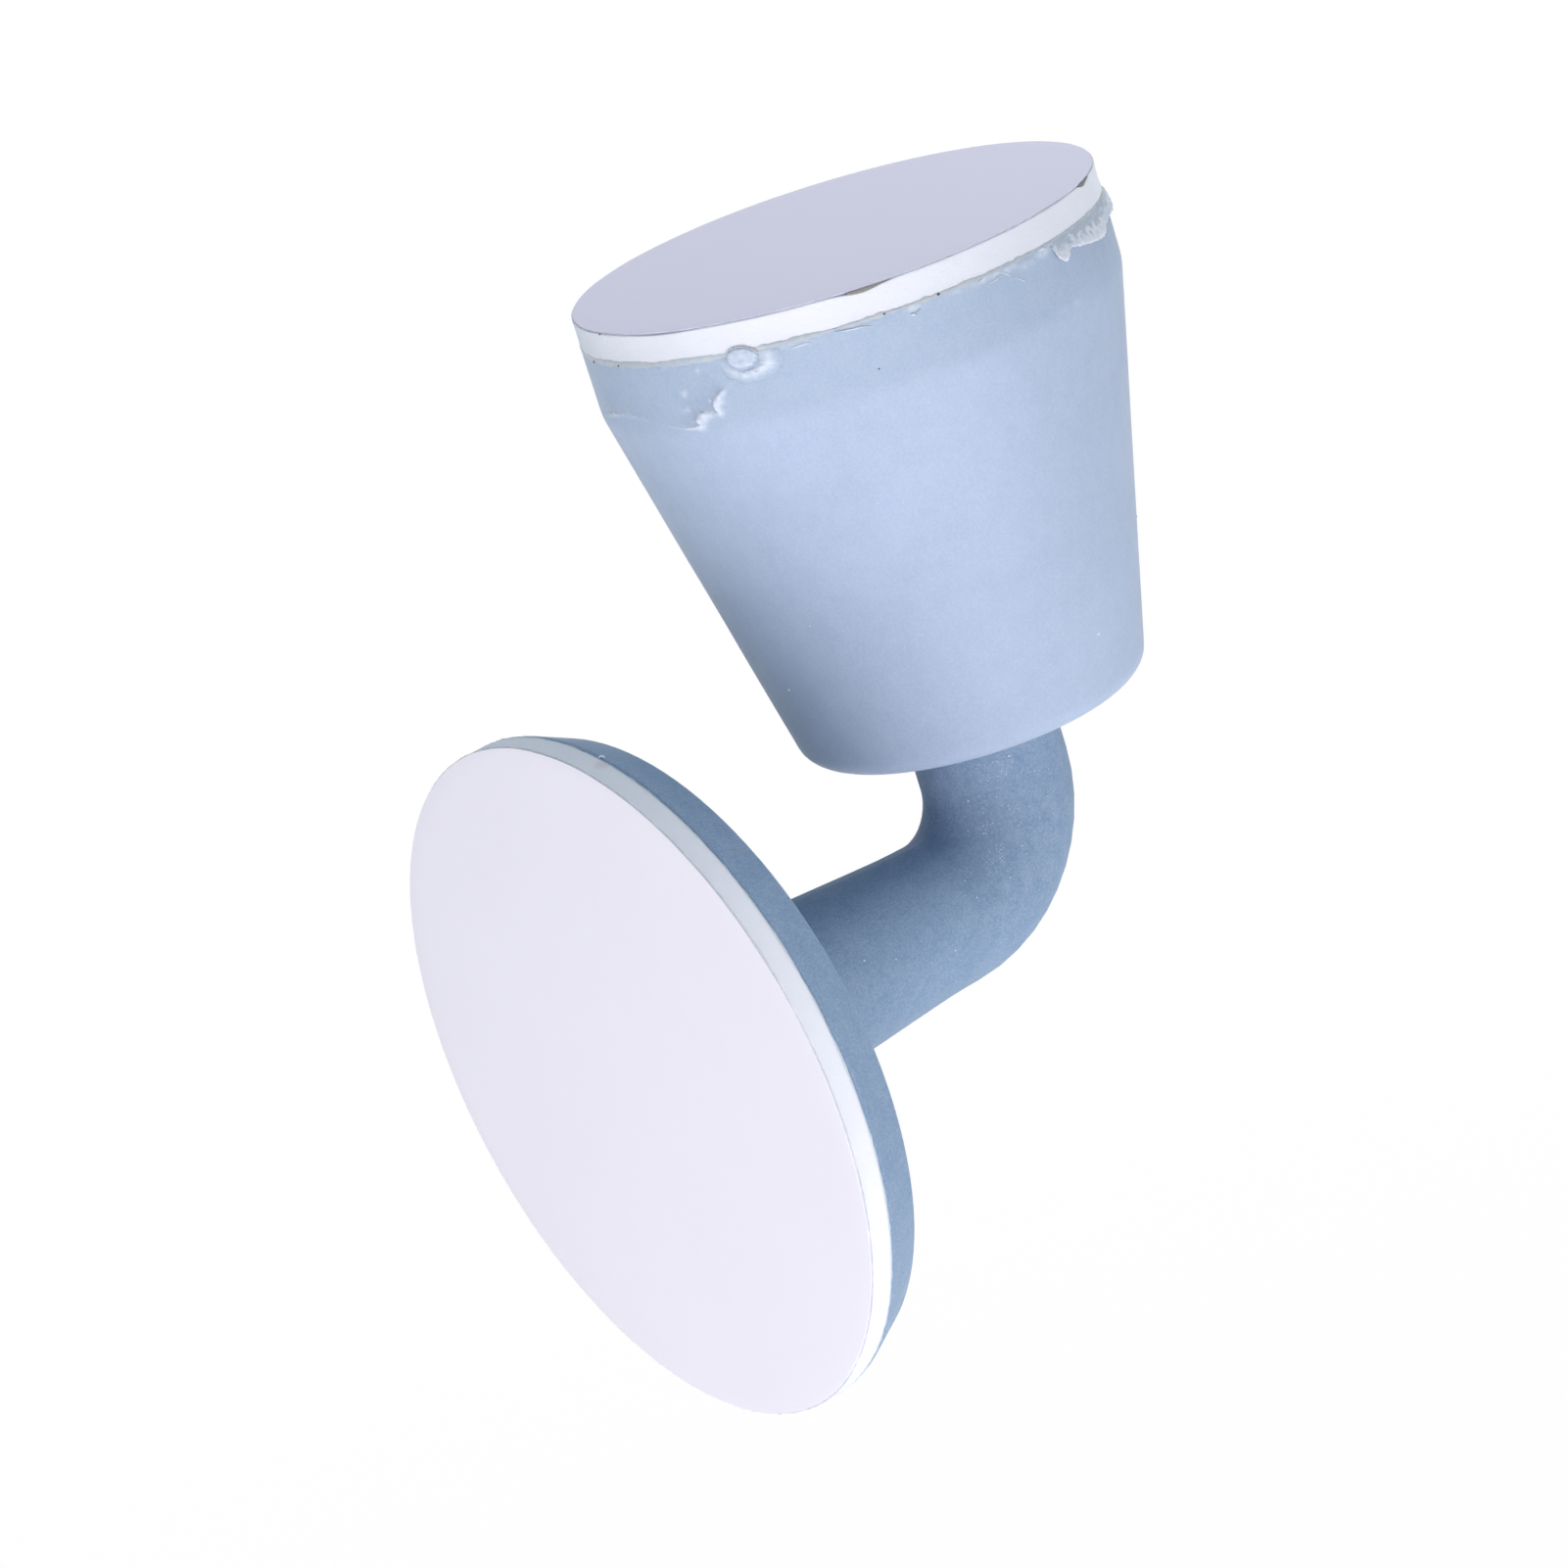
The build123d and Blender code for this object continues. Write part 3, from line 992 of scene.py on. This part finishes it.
class DOORSTOP_OT_gate_vestige(bpy.types.Operator):
    """Build the oval nub with its groove and lip that the mould's gate left on the rim"""

    bl_idname = "door_stop.gate_vestige"
    bl_label = "Gate vestige"

    def execute(self, context):
        band_radius = WIDE_RADIUS - context.scene.door_stop_bumper.flash_room
        bm = bmesh.new()
        # The section is turned on a circle of radius 1, which the loop stretches to the nub's oval in mm
        points = [bm.verts.new((share + out, 0, proud * MM)) for share, out, proud in GATE_SECTION]
        for start, end in zip(points, points[1:]):
            bm.edges.new((start, end))
        bmesh.ops.subdivide_edges(bm, edges=bm.edges, cuts=2)
        turned(bm, GATE_STEPS)
        torn = bm.verts.layers.float.new("torn")
        thin = bm.verts.layers.float.new("thin")
        for vert in bm.verts:
            reach = hypot(vert.co.x, vert.co.y)
            turn = atan2(vert.co.y, vert.co.x)
            inside, out = min(reach, 1.0), max(reach - 1.0, 0.0)
            grit = ring_noise(turn, reach * 2.4, 3.0)
            fine = ring_noise(turn, reach * 6.5, 7.0)
            # The lip is highest at the lower right. The groove is painted darker there and at the left, as
            # painted shade, and the lip paler there, as a painted highlight
            lip_share = clamp(0.5 - 0.55 * sin(turn) + 0.28 * cos(turn))
            low_right = max(0.0, cos(turn + 0.9))
            groove_shade = 0.15 + 1.0 * low_right**1.5 + 0.55 * max(0.0, cos(turn - 3.5)) ** 3
            over_lip = clamp((out - LIP_START) / LIP_RISE)
            vert.co.z = vert.co.z * (1 - over_lip * (1 - lip_share)) - 0.09 * MM * over_lip * (1 - lip_share)
            vert.co.z += (0.02 * grit + 0.010 * fine) * MM * (1 - 0.7 * over_lip)
            # Painted shade in the groove, given through the darker tone of thin silicone
            vert[thin] = min(1.0, 1.2 * bell(out - GATE_GROOVE_SHADE[0], GATE_GROOVE_SHADE[1]) * groove_shade)
            # Whitening: on the lip it is a painted highlight, strongest at the lower right; on the nub it is
            # torn silicone
            whitened_and_highlight = bell(out - GATE_LIP_HIGHLIGHT[0], GATE_LIP_HIGHLIGHT[1]) * lip_share * (0.55 + 0.4 * grit)
            if reach <= 1.0:
                whitened_and_highlight += 0.26 + 0.30 * grit + 0.2 * fine
            vert[torn] = clamp(whitened_and_highlight)
            bite = 1 - 0.20 * low_right * (1 + fine) * inside
            stretch = 1 + 0.7 * over_lip * max(0.0, cos(turn + 0.5)) ** 2
            across = (GATE_HALF_WIDTH * inside * bite + out * stretch) * MM * cos(turn)
            upward = (GATE_HALF_HEIGHT * inside * bite + out) * MM * sin(turn)
            vert.co.x, vert.co.y = across, upward + GATE_TILT * across
            # The lip stops at the rim, and what would lie over the foam is sunk out of sight
            above = (GATE_HEIGHT * MM + vert.co.y - RIM_HEIGHT) / (0.2 * MM) + 1
            vert.co.z -= 0.35 * MM * clamp((out - 0.04) / 0.08) * clamp(above)
        wrap_on_band(bm, band_radius, GATE_ANGLE, GATE_HEIGHT * MM)
        bmesh.ops.transform(bm, matrix=ON_BUMPER, verts=bm.verts)
        bmesh.ops.recalc_face_normals(bm, faces=bm.faces)
        finished(bm, "gate_vestige", bumper_silicone(), None)
        return {"FINISHED"}


class DOORSTOP_OT_flash(bpy.types.Operator):
    """Build the torn flash that hangs from the rim and the thin remains of it on the band"""

    bl_idname = "door_stop.flash"
    bl_label = "Moulding flash"

    def execute(self, context):
        band_radius = WIDE_RADIUS - context.scene.door_stop_bumper.flash_room
        arc_step = radians(1) * band_radius
        bm = bmesh.new()
        torn = bm.verts.layers.float.new("torn")
        thin = bm.verts.layers.float.new("thin")
        for vert, share, across in ribbon(bm, FLASH_GRID):
            angle, free_height, lift, whiteness = along(HANGING_FLASH, share)
            arc = angle * arc_step / MM
            ragged = FLASH_RAGGED * wander(arc / 0.45, 0, 1.0) + 0.07 * wander(arc / 0.16, 0, 2.0)
            free_height += ragged * across
            level = FLASH_ROOT_HEIGHT + (free_height - FLASH_ROOT_HEIGHT) * across
            blotch = wander(arc / 0.55, level / 0.42, 9.0)
            fine = wander(arc / 0.17, level / 0.17, 13.0)
            rolled = bell(across - 0.88, 0.15) * (0.10 + 0.08 * fine)
            proud = lift * across**1.4 - FLASH_SUNK + 0.12 * blotch * across + rolled
            vert.co = (angle * arc_step, level * MM, proud * MM)
            whiten = across + 0.58 * blotch + 0.34 * fine
            vert[torn] = clamp((whiten - 0.28) / 0.34, 0.24) * whiteness
            vert[thin] = 0.6 * clamp(1.1 * (1 - across) - 0.3 * blotch) * min(1.0, lift / 0.1)
        bmesh.ops.solidify(bm, geom=bm.faces[:], thickness=FLASH_THICKNESS * MM)
        wrap_on_band(bm, band_radius)
        bmesh.ops.transform(bm, matrix=ON_BUMPER, verts=bm.verts)
        bmesh.ops.recalc_face_normals(bm, faces=bm.faces)
        finished(bm, "hanging_flash", bumper_silicone(), None)

        bm = bmesh.new()
        bm.verts.layers.float.new("torn")
        for number, (start, start_height, end, end_height, width, proud) in enumerate(FLASH_REMAINS):
            strip = bmesh.new()
            torn = strip.verts.layers.float.new("torn")
            for vert, share, across in ribbon(strip, REMAINS_GRID):
                swell = sin(pi * share) ** 0.6
                crest = sin(pi * across) * swell
                coarse = wander(share * 7, across * 2, number * 5.0)
                fine = wander(share * 14, across * 4, number * 10.0)
                half = width / 2 * swell * (1 + 0.5 * coarse)
                level = start_height + (end_height - start_height) * share
                level += (across - 0.5) * 2 * half + 0.06 * wander(share * 5, 0, number * 3.0)
                rise = (proud + FLASH_SUNK) * crest * (0.8 + 0.6 * fine) - FLASH_SUNK
                vert.co = ((start + (end - start) * share) * arc_step, level * MM, rise * MM)
                vert[torn] = clamp(0.85 * crest + 0.3 * fine)
            joined(bm, strip)
        wrap_on_band(bm, band_radius)
        finished(bm, "flash_remains", bumper_silicone(), ON_BUMPER)
        return {"FINISHED"}


def foam_disc(radius, thickness, seed, dips=()):
    """A die-cut foam disc that stands on its back face, with an uneven side and soft edges."""
    sizes = bpy.context.scene.door_stop_pads
    back, front = sizes.foam_back_edge_radius, sizes.foam_edge_radius
    bm = bmesh.new()
    section(bm, ((0, 0, 0), (radius, 0, back), (radius, thickness, front), (0, thickness, 0)), *FOAM_STEPS)
    turned(bm, FINE_STEPS)
    for vert in bm.verts:
        reach = hypot(vert.co.x, vert.co.y)
        if reach < 0.9 * radius:
            continue
        turn = atan2(vert.co.y, vert.co.x)
        level = vert.co.z / thickness
        slow = ring_noise(turn, 3.5, seed + level)
        quick = ring_noise(turn, 16, seed + 2 * level)
        waist = sin(pi * clamp(level))
        cut = sizes.foam_wobble * (0.35 - 0.35 * slow - 0.12 * quick) - 0.03 * MM * (1 - waist)
        share = (reach / radius) ** 12
        scale = 1 - max(cut, 0.0) * share / reach
        vert.co.x *= scale
        vert.co.y *= scale
        for angle, half_width, depth in dips:
            off = (turn - radians(angle) + pi) % (2 * pi) - pi
            vert.co.z -= depth * MM * bell(off, radians(half_width)) * share * level**2
    return bm


class DOORSTOP_OT_foam_pads(bpy.types.Operator):
    """Build the two die-cut foam adhesive pads"""

    bl_idname = "door_stop.foam_pads"
    bl_label = "Foam pads"

    def execute(self, context):
        inset = context.scene.door_stop_pads.foam_inset
        material = foam_material()
        bm = foam_disc(WIDE_RADIUS - inset, bumper_foam_high.z - bumper_foam_low.z, 4.0, FOAM_DIPS)
        place = ON_BUMPER @ Matrix.Translation((0, 0, bumper_foam_low.z))
        pad = finished(bm, "bumper_foam", material, place, ["bumper_foam_pad"])

        bm = foam_disc(BASE_RADIUS - BASE_INSET_SHARE * inset, base_foam_high.x - base_foam_low.x, 11.0)
        place = ON_BASE @ Matrix.Translation((0, 0, base_foam_low.x))
        pad = finished(bm, "base_foam", material, place, ["base_foam_pad"])
        return {"FINISHED"}


def film_disc(radius, thickness, seed):
    """A thin cut film that stands on its back face, with a crisp edge that isn't quite even."""
    edge = FILM_EDGE_RADIUS
    bm = bmesh.new()
    section(bm, ((0, 0, 0), (radius, 0, edge), (radius, thickness, edge), (0, thickness, 0)), *FILM_STEPS)
    turned(bm, FINE_STEPS)
    for vert in bm.verts:
        if hypot(vert.co.x, vert.co.y) > 0.95 * radius:
            turn = atan2(vert.co.y, vert.co.x)
            cut = 0.04 + 0.04 * ring_noise(turn, 5, seed) + 0.012 * ring_noise(turn, 30, seed + 9)
            scale = 1 - cut * MM / radius
            vert.co.x *= scale
            vert.co.y *= scale
    return bm


class DOORSTOP_OT_release_films(bpy.types.Operator):
    """Build the two release films that cover the pads' adhesive"""

    bl_idname = "door_stop.release_films"
    bl_label = "Release films"

    def execute(self, context):
        pads = context.scene.door_stop_pads
        finish = context.scene.door_stop_finish
        inset = pads.foam_inset + pads.film_inset
        # The same film as the base's, made darker and bluer as painted shade
        material = film_material("Polyester release film, coated, painted_shade", finish.bumper_film_shaded_colour)
        bm = film_disc(WIDE_RADIUS - inset, bumper_film_high.z - bumper_film_low.z, 2.0)
        place = ON_BUMPER @ Matrix.Translation((0, 0, bumper_film_low.z))
        finished(bm, "bumper_film", material, place, ["bumper_release_film"])

        material = film_material("Polyester release film, coated", finish.base_film_colour)
        bm = film_disc(BASE_RADIUS - inset, base_film_high.x - base_film_low.x, 6.0)
        place = ON_BASE @ Matrix.Translation((0, pads.film_shift, base_film_low.x))
        finished(bm, "base_film", material, place, ["base_release_film"])
        return {"FINISHED"}


def adhesive_ring(radius, height, bead_height, bead_depth, seed, pressed_out, lean=0.0):
    """An uneven bead of adhesive round the foam's edge, sunk out of sight where little was pressed out."""
    bm = bmesh.new()
    upright_circle(bm, BEAD_SIDES, 0.5)
    bmesh.ops.scale(bm, vec=(bead_depth, 1, bead_height), verts=bm.verts)
    bmesh.ops.translate(bm, vec=(radius, 0, height), verts=bm.verts)
    turned(bm, RING_STEPS)
    dirt = bm.verts.layers.float.new("dirt")
    pressed = bm.verts.layers.float.new("pressed")
    for vert in bm.verts:
        turn = atan2(vert.co.y, vert.co.x)
        ring = Vector((cos(turn), sin(turn), 0))
        cover, vert[dirt] = at_angle(pressed_out, degrees(turn))
        level = (height - vert.co.z) / bead_height + 0.5
        vert[pressed] = clamp((level - 0.65) / 0.30)
        # The bead is thick in the middle and runs out thin above and below
        side = 1 if vert.co.dot(ring) > radius else -1
        reach = radius - lean * (1 - level) + side * 2 * bead_depth * level * (1 - level)
        amount = cover + 0.5 * ring_noise(turn, 9, seed) + 0.5 * ring_noise(turn, 38, seed + 3)
        amount = clamp(amount, 0.05, 1.2)
        # Less adhesive makes it thinner, and sinks it a little
        reach = radius + (reach - radius) * amount - bead_depth * 0.35 * (1 - amount)
        vert.co = ring * reach + Vector((0, 0, height + (vert.co.z - height) * amount))
    return bm


class DOORSTOP_OT_adhesive_lines(bpy.types.Operator):
    """Build the beads of adhesive that show between the foam pads and the silicone"""

    bl_idname = "door_stop.adhesive_lines"
    bl_label = "Adhesive lines"

    def execute(self, context):
        pads = context.scene.door_stop_pads
        foam_inset, film_inset = pads.foam_inset, pads.film_inset
        band_radius = WIDE_RADIUS - context.scene.door_stop_bumper.flash_room
        material = adhesive_material()
        radius = WIDE_RADIUS - 0.55 * foam_inset
        bead = (pads.bead_height, pads.bead_depth)
        bm = adhesive_ring(radius, RIM_HEIGHT - 0.07 * MM, *bead, 1.0, PRESSED_OUT, 0.75 * foam_inset)
        over_gate = bmesh.new()
        bent_tube(over_gate, 1.0, OVER_GATE_RADIUS * MM, radians(OVER_GATE_SWEEP), TUBE_STEPS)
        dirt = over_gate.verts.layers.float.new("dirt")
        over_gate.verts.layers.float.new("pressed")
        gap = OVER_GATE_GAP * MM
        for vert in over_gate.verts:
            off = hypot(vert.co.x, vert.co.y) - 1.0
            turn = atan2(vert.co.y, vert.co.x) + radians(OVER_GATE_START)
            bulge = 0.07 * MM * ring_noise(turn, 5, 2.0)
            across = (GATE_HALF_WIDTH * MM + gap + off) * cos(turn)
            upward = (GATE_HALF_HEIGHT * MM + gap + off + bulge) * sin(turn)
            vert.co = (across, upward + GATE_TILT * across, 0.02 * MM + vert.co.z * 1.2)
            vert[dirt] = OVER_GATE_DIRT
        wrap_on_band(over_gate, band_radius, GATE_ANGLE, GATE_HEIGHT * MM)
        joined(bm, over_gate)
        finished(bm, "bumper_adhesive_line", material, ON_BUMPER)

        radius = BASE_RADIUS - BASE_INSET_SHARE * foam_inset
        bm = adhesive_ring(radius, base_foam_high.x, *BASE_BEAD, 7.0, THIN_LINE)
        finished(bm, "base_adhesive_line", material, ON_BASE)
        radius = WIDE_RADIUS - foam_inset - 0.7 * film_inset
        bm = adhesive_ring(radius, bumper_foam_high.z, *BUMPER_FILM_BEAD, 12.0, FILM_LINE)
        finished(bm, "bumper_film_adhesive", material, ON_BUMPER)
        radius = BASE_RADIUS - foam_inset - 0.9 * film_inset
        bm = adhesive_ring(radius, base_film_high.x, *BASE_FILM_BEAD, 17.0, THIN_LINE)
        finished(bm, "base_film_adhesive", material, ON_BASE)
        return {"FINISHED"}


def bumper_surface(height, sizes):
    """The bumper's radius at a height, and its slope outwards for each metre up."""
    band_radius = WIDE_RADIUS - sizes.flash_room
    below = BUMPER_START + sizes.taper_height - height
    if below < 0:
        return band_radius, 0.0
    slope = (WIDE_RADIUS - sizes.narrow_diameter / 2) / sizes.taper_height
    return band_radius - slope * below, slope


class DOORSTOP_OT_specks(bpy.types.Operator):
    """Scatter the few specks of grime and white dust, and the curl of silicone on the base's edge"""

    bl_idname = "door_stop.specks"
    bl_label = "Specks"

    def execute(self, context):
        sizes = context.scene.door_stop_bumper
        dust = speck_material("Silicone dust", "#E9ECF6")
        for name, specks, material in (
            ("grime_specks", DARK_SPECKS, speck_material("Grime, dried", "#4E4650")),
            ("dust_specks", WHITE_SPECKS, dust),
        ):
            bm = bmesh.new()
            for angle, height, size in specks:
                radius, slope = bumper_surface(height * MM, sizes)
                turn = Matrix.Rotation(radians(angle), 4, "Z")
                place = ON_BUMPER @ turn @ Matrix.Translation((radius, 0, height * MM))
                place = place @ Matrix.Rotation(tan(slope), 4, "Y") @ Matrix.Diagonal(LYING_ON_BUMPER)
                made = bmesh.ops.create_icosphere(bm, subdivisions=2, radius=size / 2 * MM, matrix=place)
                for vert in made["verts"]:
                    x, y, z = vert.co / LUMP_SIZE
                    lump = Vector([wander(x, y, z + shift) for shift in LUMP_SHIFTS])
                    vert.co += LUMP_HEIGHT * lump
            finished(bm, name, material)

        # Each speck on the arm is moved to the nearest point of its surface
        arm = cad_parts["elbow_arm"]
        draws = random.Random(DUST_SEED)
        bm = bmesh.new()
        specks = [(Vector(place), size) for place, size in ARM_SPECKS]
        for centre, spread, count in ARM_CLUSTERS:
            for _ in range(count):
                place = Vector([at + draws.gauss(0, spread) for at in centre])
                specks.append((place, draws.uniform(*DUST_DIAMETERS)))
        for place, size in specks:
            found, at, normal, _ = arm.closest_point_on_mesh(place * MM)
            if found:
                facing = normal.to_track_quat("Z", "Y").to_matrix().to_4x4()
                lying = Matrix.Translation(at) @ facing @ Matrix.Diagonal(LYING_ON_ARM)
                bmesh.ops.create_icosphere(bm, subdivisions=1, radius=size / 2 * MM, matrix=lying)
        finished(bm, "arm_dust", dust)

        # Dark wedges in two of the foam's dips, as painted shadow under the bumper film's edge
        bm = bmesh.new()
        for number, (start, end, top, thickness) in enumerate(SHADOW_WEDGES):
            wedge = bmesh.new()
            for vert, share, across in ribbon(wedge, WEDGE_GRID):
                deep = thickness * sin(pi * share**0.6) ** 0.8 * (1 + 0.3 * wander(share * 6, number, 0))
                angle = radians(start + (end - start) * share)
                vert.co = (angle * SHADOW_WEDGE_RADIUS * MM, (top - max(deep, 0.01) * across) * MM, 0)
            bmesh.ops.solidify(wedge, geom=wedge.faces[:], thickness=SHADOW_WEDGE_DEPTH * MM)
            wrap_on_band(wedge, SHADOW_WEDGE_RADIUS * MM)
            joined(bm, wedge)
        bmesh.ops.transform(bm, matrix=ON_BUMPER, verts=bm.verts)
        bmesh.ops.recalc_face_normals(bm, faces=bm.faces)
        finished(bm, "painted_shadow_wedges", speck_material("Painted shadow under the film", "#8E8580"))

        # A hair of silicone that arches off the base's side
        bm = bmesh.new()
        bent_tube(bm, CURL_BEND * MM, CURL_THICKNESS / 2 * MM, pi, CURL_STEPS)
        turn = radians(CURL_ANGLE)
        outward = Vector((0, -sin(turn), cos(turn)))
        across = Vector((1, -cos(turn), -sin(turn))).normalized()
        place = Matrix((across, outward, across.cross(outward))).transposed().to_4x4()
        place.translation = outward * (BASE_RADIUS - CURL_SUNK * MM) + Vector((CURL_PLACE * MM, 0, 0))
        finished(bm, "base_curl", dust, place)
        return {"FINISHED"}


class DOORSTOP_OT_arm_finish(bpy.types.Operator):
    """Give the base and arm their silicone"""

    bl_idname = "door_stop.arm_finish"
    bl_label = "Arm finish"

    def execute(self, context):
        finish = context.scene.door_stop_finish
        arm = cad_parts["elbow_arm"]
        material = silicone(ARM_SILICONE, finish.arm_colour, finish.arm_gloss, dust_centre=DUSTY_PLACE)
        if arm.material_slots:
            arm.material_slots[0].material = material
        else:
            arm.data.materials.append(material)
        return {"FINISHED"}


def seen_directly(tree):
    """1 for what the camera, a gloss or a clear material sees, and 0 for light that falls on the object."""
    seen = node(tree, "LightPath", output="Is Camera Ray")
    for ray in ("Is Glossy Ray", "Is Transmission Ray"):
        seen = node(tree, "Math", (seen, node(tree, "LightPath", output=ray)), operation="MAXIMUM")
    return seen


class DOORSTOP_OT_stage(bpy.types.Operator):
    """Set up the pale floor, the soft studio light, the white surroundings and the camera"""

    bl_idname = "door_stop.stage"
    bl_label = "Stage"

    def execute(self, context):
        scene = context.scene
        stage = scene.door_stop_stage
        low, high = cad_box

        # Seamless studio paper: matte and nearly white. The camera sees it white, apart from the shadow
        material, tree, where = new_material("Studio paper, matte")
        paper = node(tree, "BsdfDiffuse", {"Color": stage.floor_colour})
        white = node(tree, "Emission", {"Color": (1, 1, 1, 1), "Strength": 1.0})
        away = node(tree, "VectorMath", (where,), "Value", operation="LENGTH")
        reach = stage.shadow_reach
        near_white = node(tree, "MapRange", (away, reach / 3, reach, 0.98, 1.0), **SMOOTH)
        share = node(tree, "Math", (seen_directly(tree), near_white), operation="MULTIPLY")
        node(tree, "OutputMaterial", {"Surface": node(tree, "MixShader", (share, paper, white))})
        bm = bmesh.new()
        bmesh.ops.create_grid(bm, x_segments=8, y_segments=8, size=stage.floor_size / 2)
        bmesh.ops.translate(bm, vec=(0, 0, low.z - stage.floor_drop), verts=bm.verts)
        mesh = bpy.data.meshes.new("studio_floor")
        bm.to_mesh(mesh)
        bm.free()
        mesh.materials.append(material)
        floor = bpy.data.objects.new("studio_floor", mesh)
        scene.collection.objects.link(floor)

        world = bpy.data.worlds.new("Studio surroundings")
        world.use_nodes = True
        tree = world.node_tree
        tree.nodes.clear()
        around = {"Color": stage.ambient_colour, "Strength": stage.ambient_strength}
        ambient = node(tree, "Background", around)
        white = node(tree, "Background", {"Color": (1, 1, 1, 1), "Strength": 1.0})
        seen = node(tree, "MixShader", (seen_directly(tree), ambient, white))
        node(tree, "OutputWorld", {"Surface": seen})
        scene.world = world

        aim = (low + high) / 2
        for name, azimuth, elevation, power in SOFTBOXES:
            turn, rise = radians(azimuth), radians(elevation)
            away = Vector((sin(turn) * cos(rise), -cos(turn) * cos(rise), sin(rise)))
            light = bpy.data.lights.new(name, "AREA")
            light.energy = power
            light.size = SOFTBOX_SIDE
            lamp = bpy.data.objects.new(name, light)
            lamp.location = aim + away * SOFTBOX_DISTANCE
            lamp.rotation_euler = away.to_track_quat("Z", "Y").to_euler()
            scene.collection.objects.link(lamp)

        data = bpy.data.cameras.new("Product camera")
        data.lens = stage.lens
        data.clip_start = 0.01
        data.clip_end = 30
        camera = bpy.data.objects.new("product_camera", data)
        look = Matrix.Rotation(-stage.azimuth, 4, "Z") @ Matrix.Rotation(pi / 2 - stage.elevation, 4, "X")
        lean = Matrix.Rotation(-stage.roll, 4, "Z")
        camera.matrix_world = Matrix.Translation(stage.camera_place) @ look @ lean
        scene.collection.objects.link(camera)
        scene.camera = camera
        scene.view_settings.view_transform = "Standard"
        return {"FINISHED"}


class DOORSTOP_PT_pieces(bpy.types.Panel):
    """The door stop's pieces and its stage"""

    bl_idname = "DOORSTOP_PT_pieces"
    bl_label = "Door Stop"
    bl_space_type = "VIEW_3D"
    bl_region_type = "UI"
    bl_category = "Door Stop"

    def draw(self, context):
        for operator in OPERATORS:
            self.layout.operator(operator.bl_idname)


SETTINGS = {
    "door_stop_bumper": BumperSettings,
    "door_stop_pads": PadSettings,
    "door_stop_finish": FinishSettings,
    "door_stop_stage": StageSettings,
}
OPERATORS = (
    DOORSTOP_OT_arm_finish,
    DOORSTOP_OT_cone_bumper,
    DOORSTOP_OT_gate_vestige,
    DOORSTOP_OT_flash,
    DOORSTOP_OT_foam_pads,
    DOORSTOP_OT_release_films,
    DOORSTOP_OT_adhesive_lines,
    DOORSTOP_OT_specks,
    DOORSTOP_OT_stage,
)


def register():
    for name, group in SETTINGS.items():
        bpy.utils.register_class(group)
        setattr(bpy.types.Scene, name, bpy.props.PointerProperty(type=group))
    for operator in OPERATORS:
        bpy.utils.register_class(operator)
    bpy.utils.register_class(DOORSTOP_PT_pieces)


def unregister():
    bpy.utils.unregister_class(DOORSTOP_PT_pieces)
    for operator in reversed(OPERATORS):
        bpy.utils.unregister_class(operator)
    for name, group in reversed(SETTINGS.items()):
        delattr(bpy.types.Scene, name)
        bpy.utils.unregister_class(group)


def main():
    """Build the pieces in order."""
    register()
    for operator in OPERATORS:
        group, name = operator.bl_idname.split(".")
        getattr(getattr(bpy.ops, group), name)()


if __name__ == "__main__":
    main()
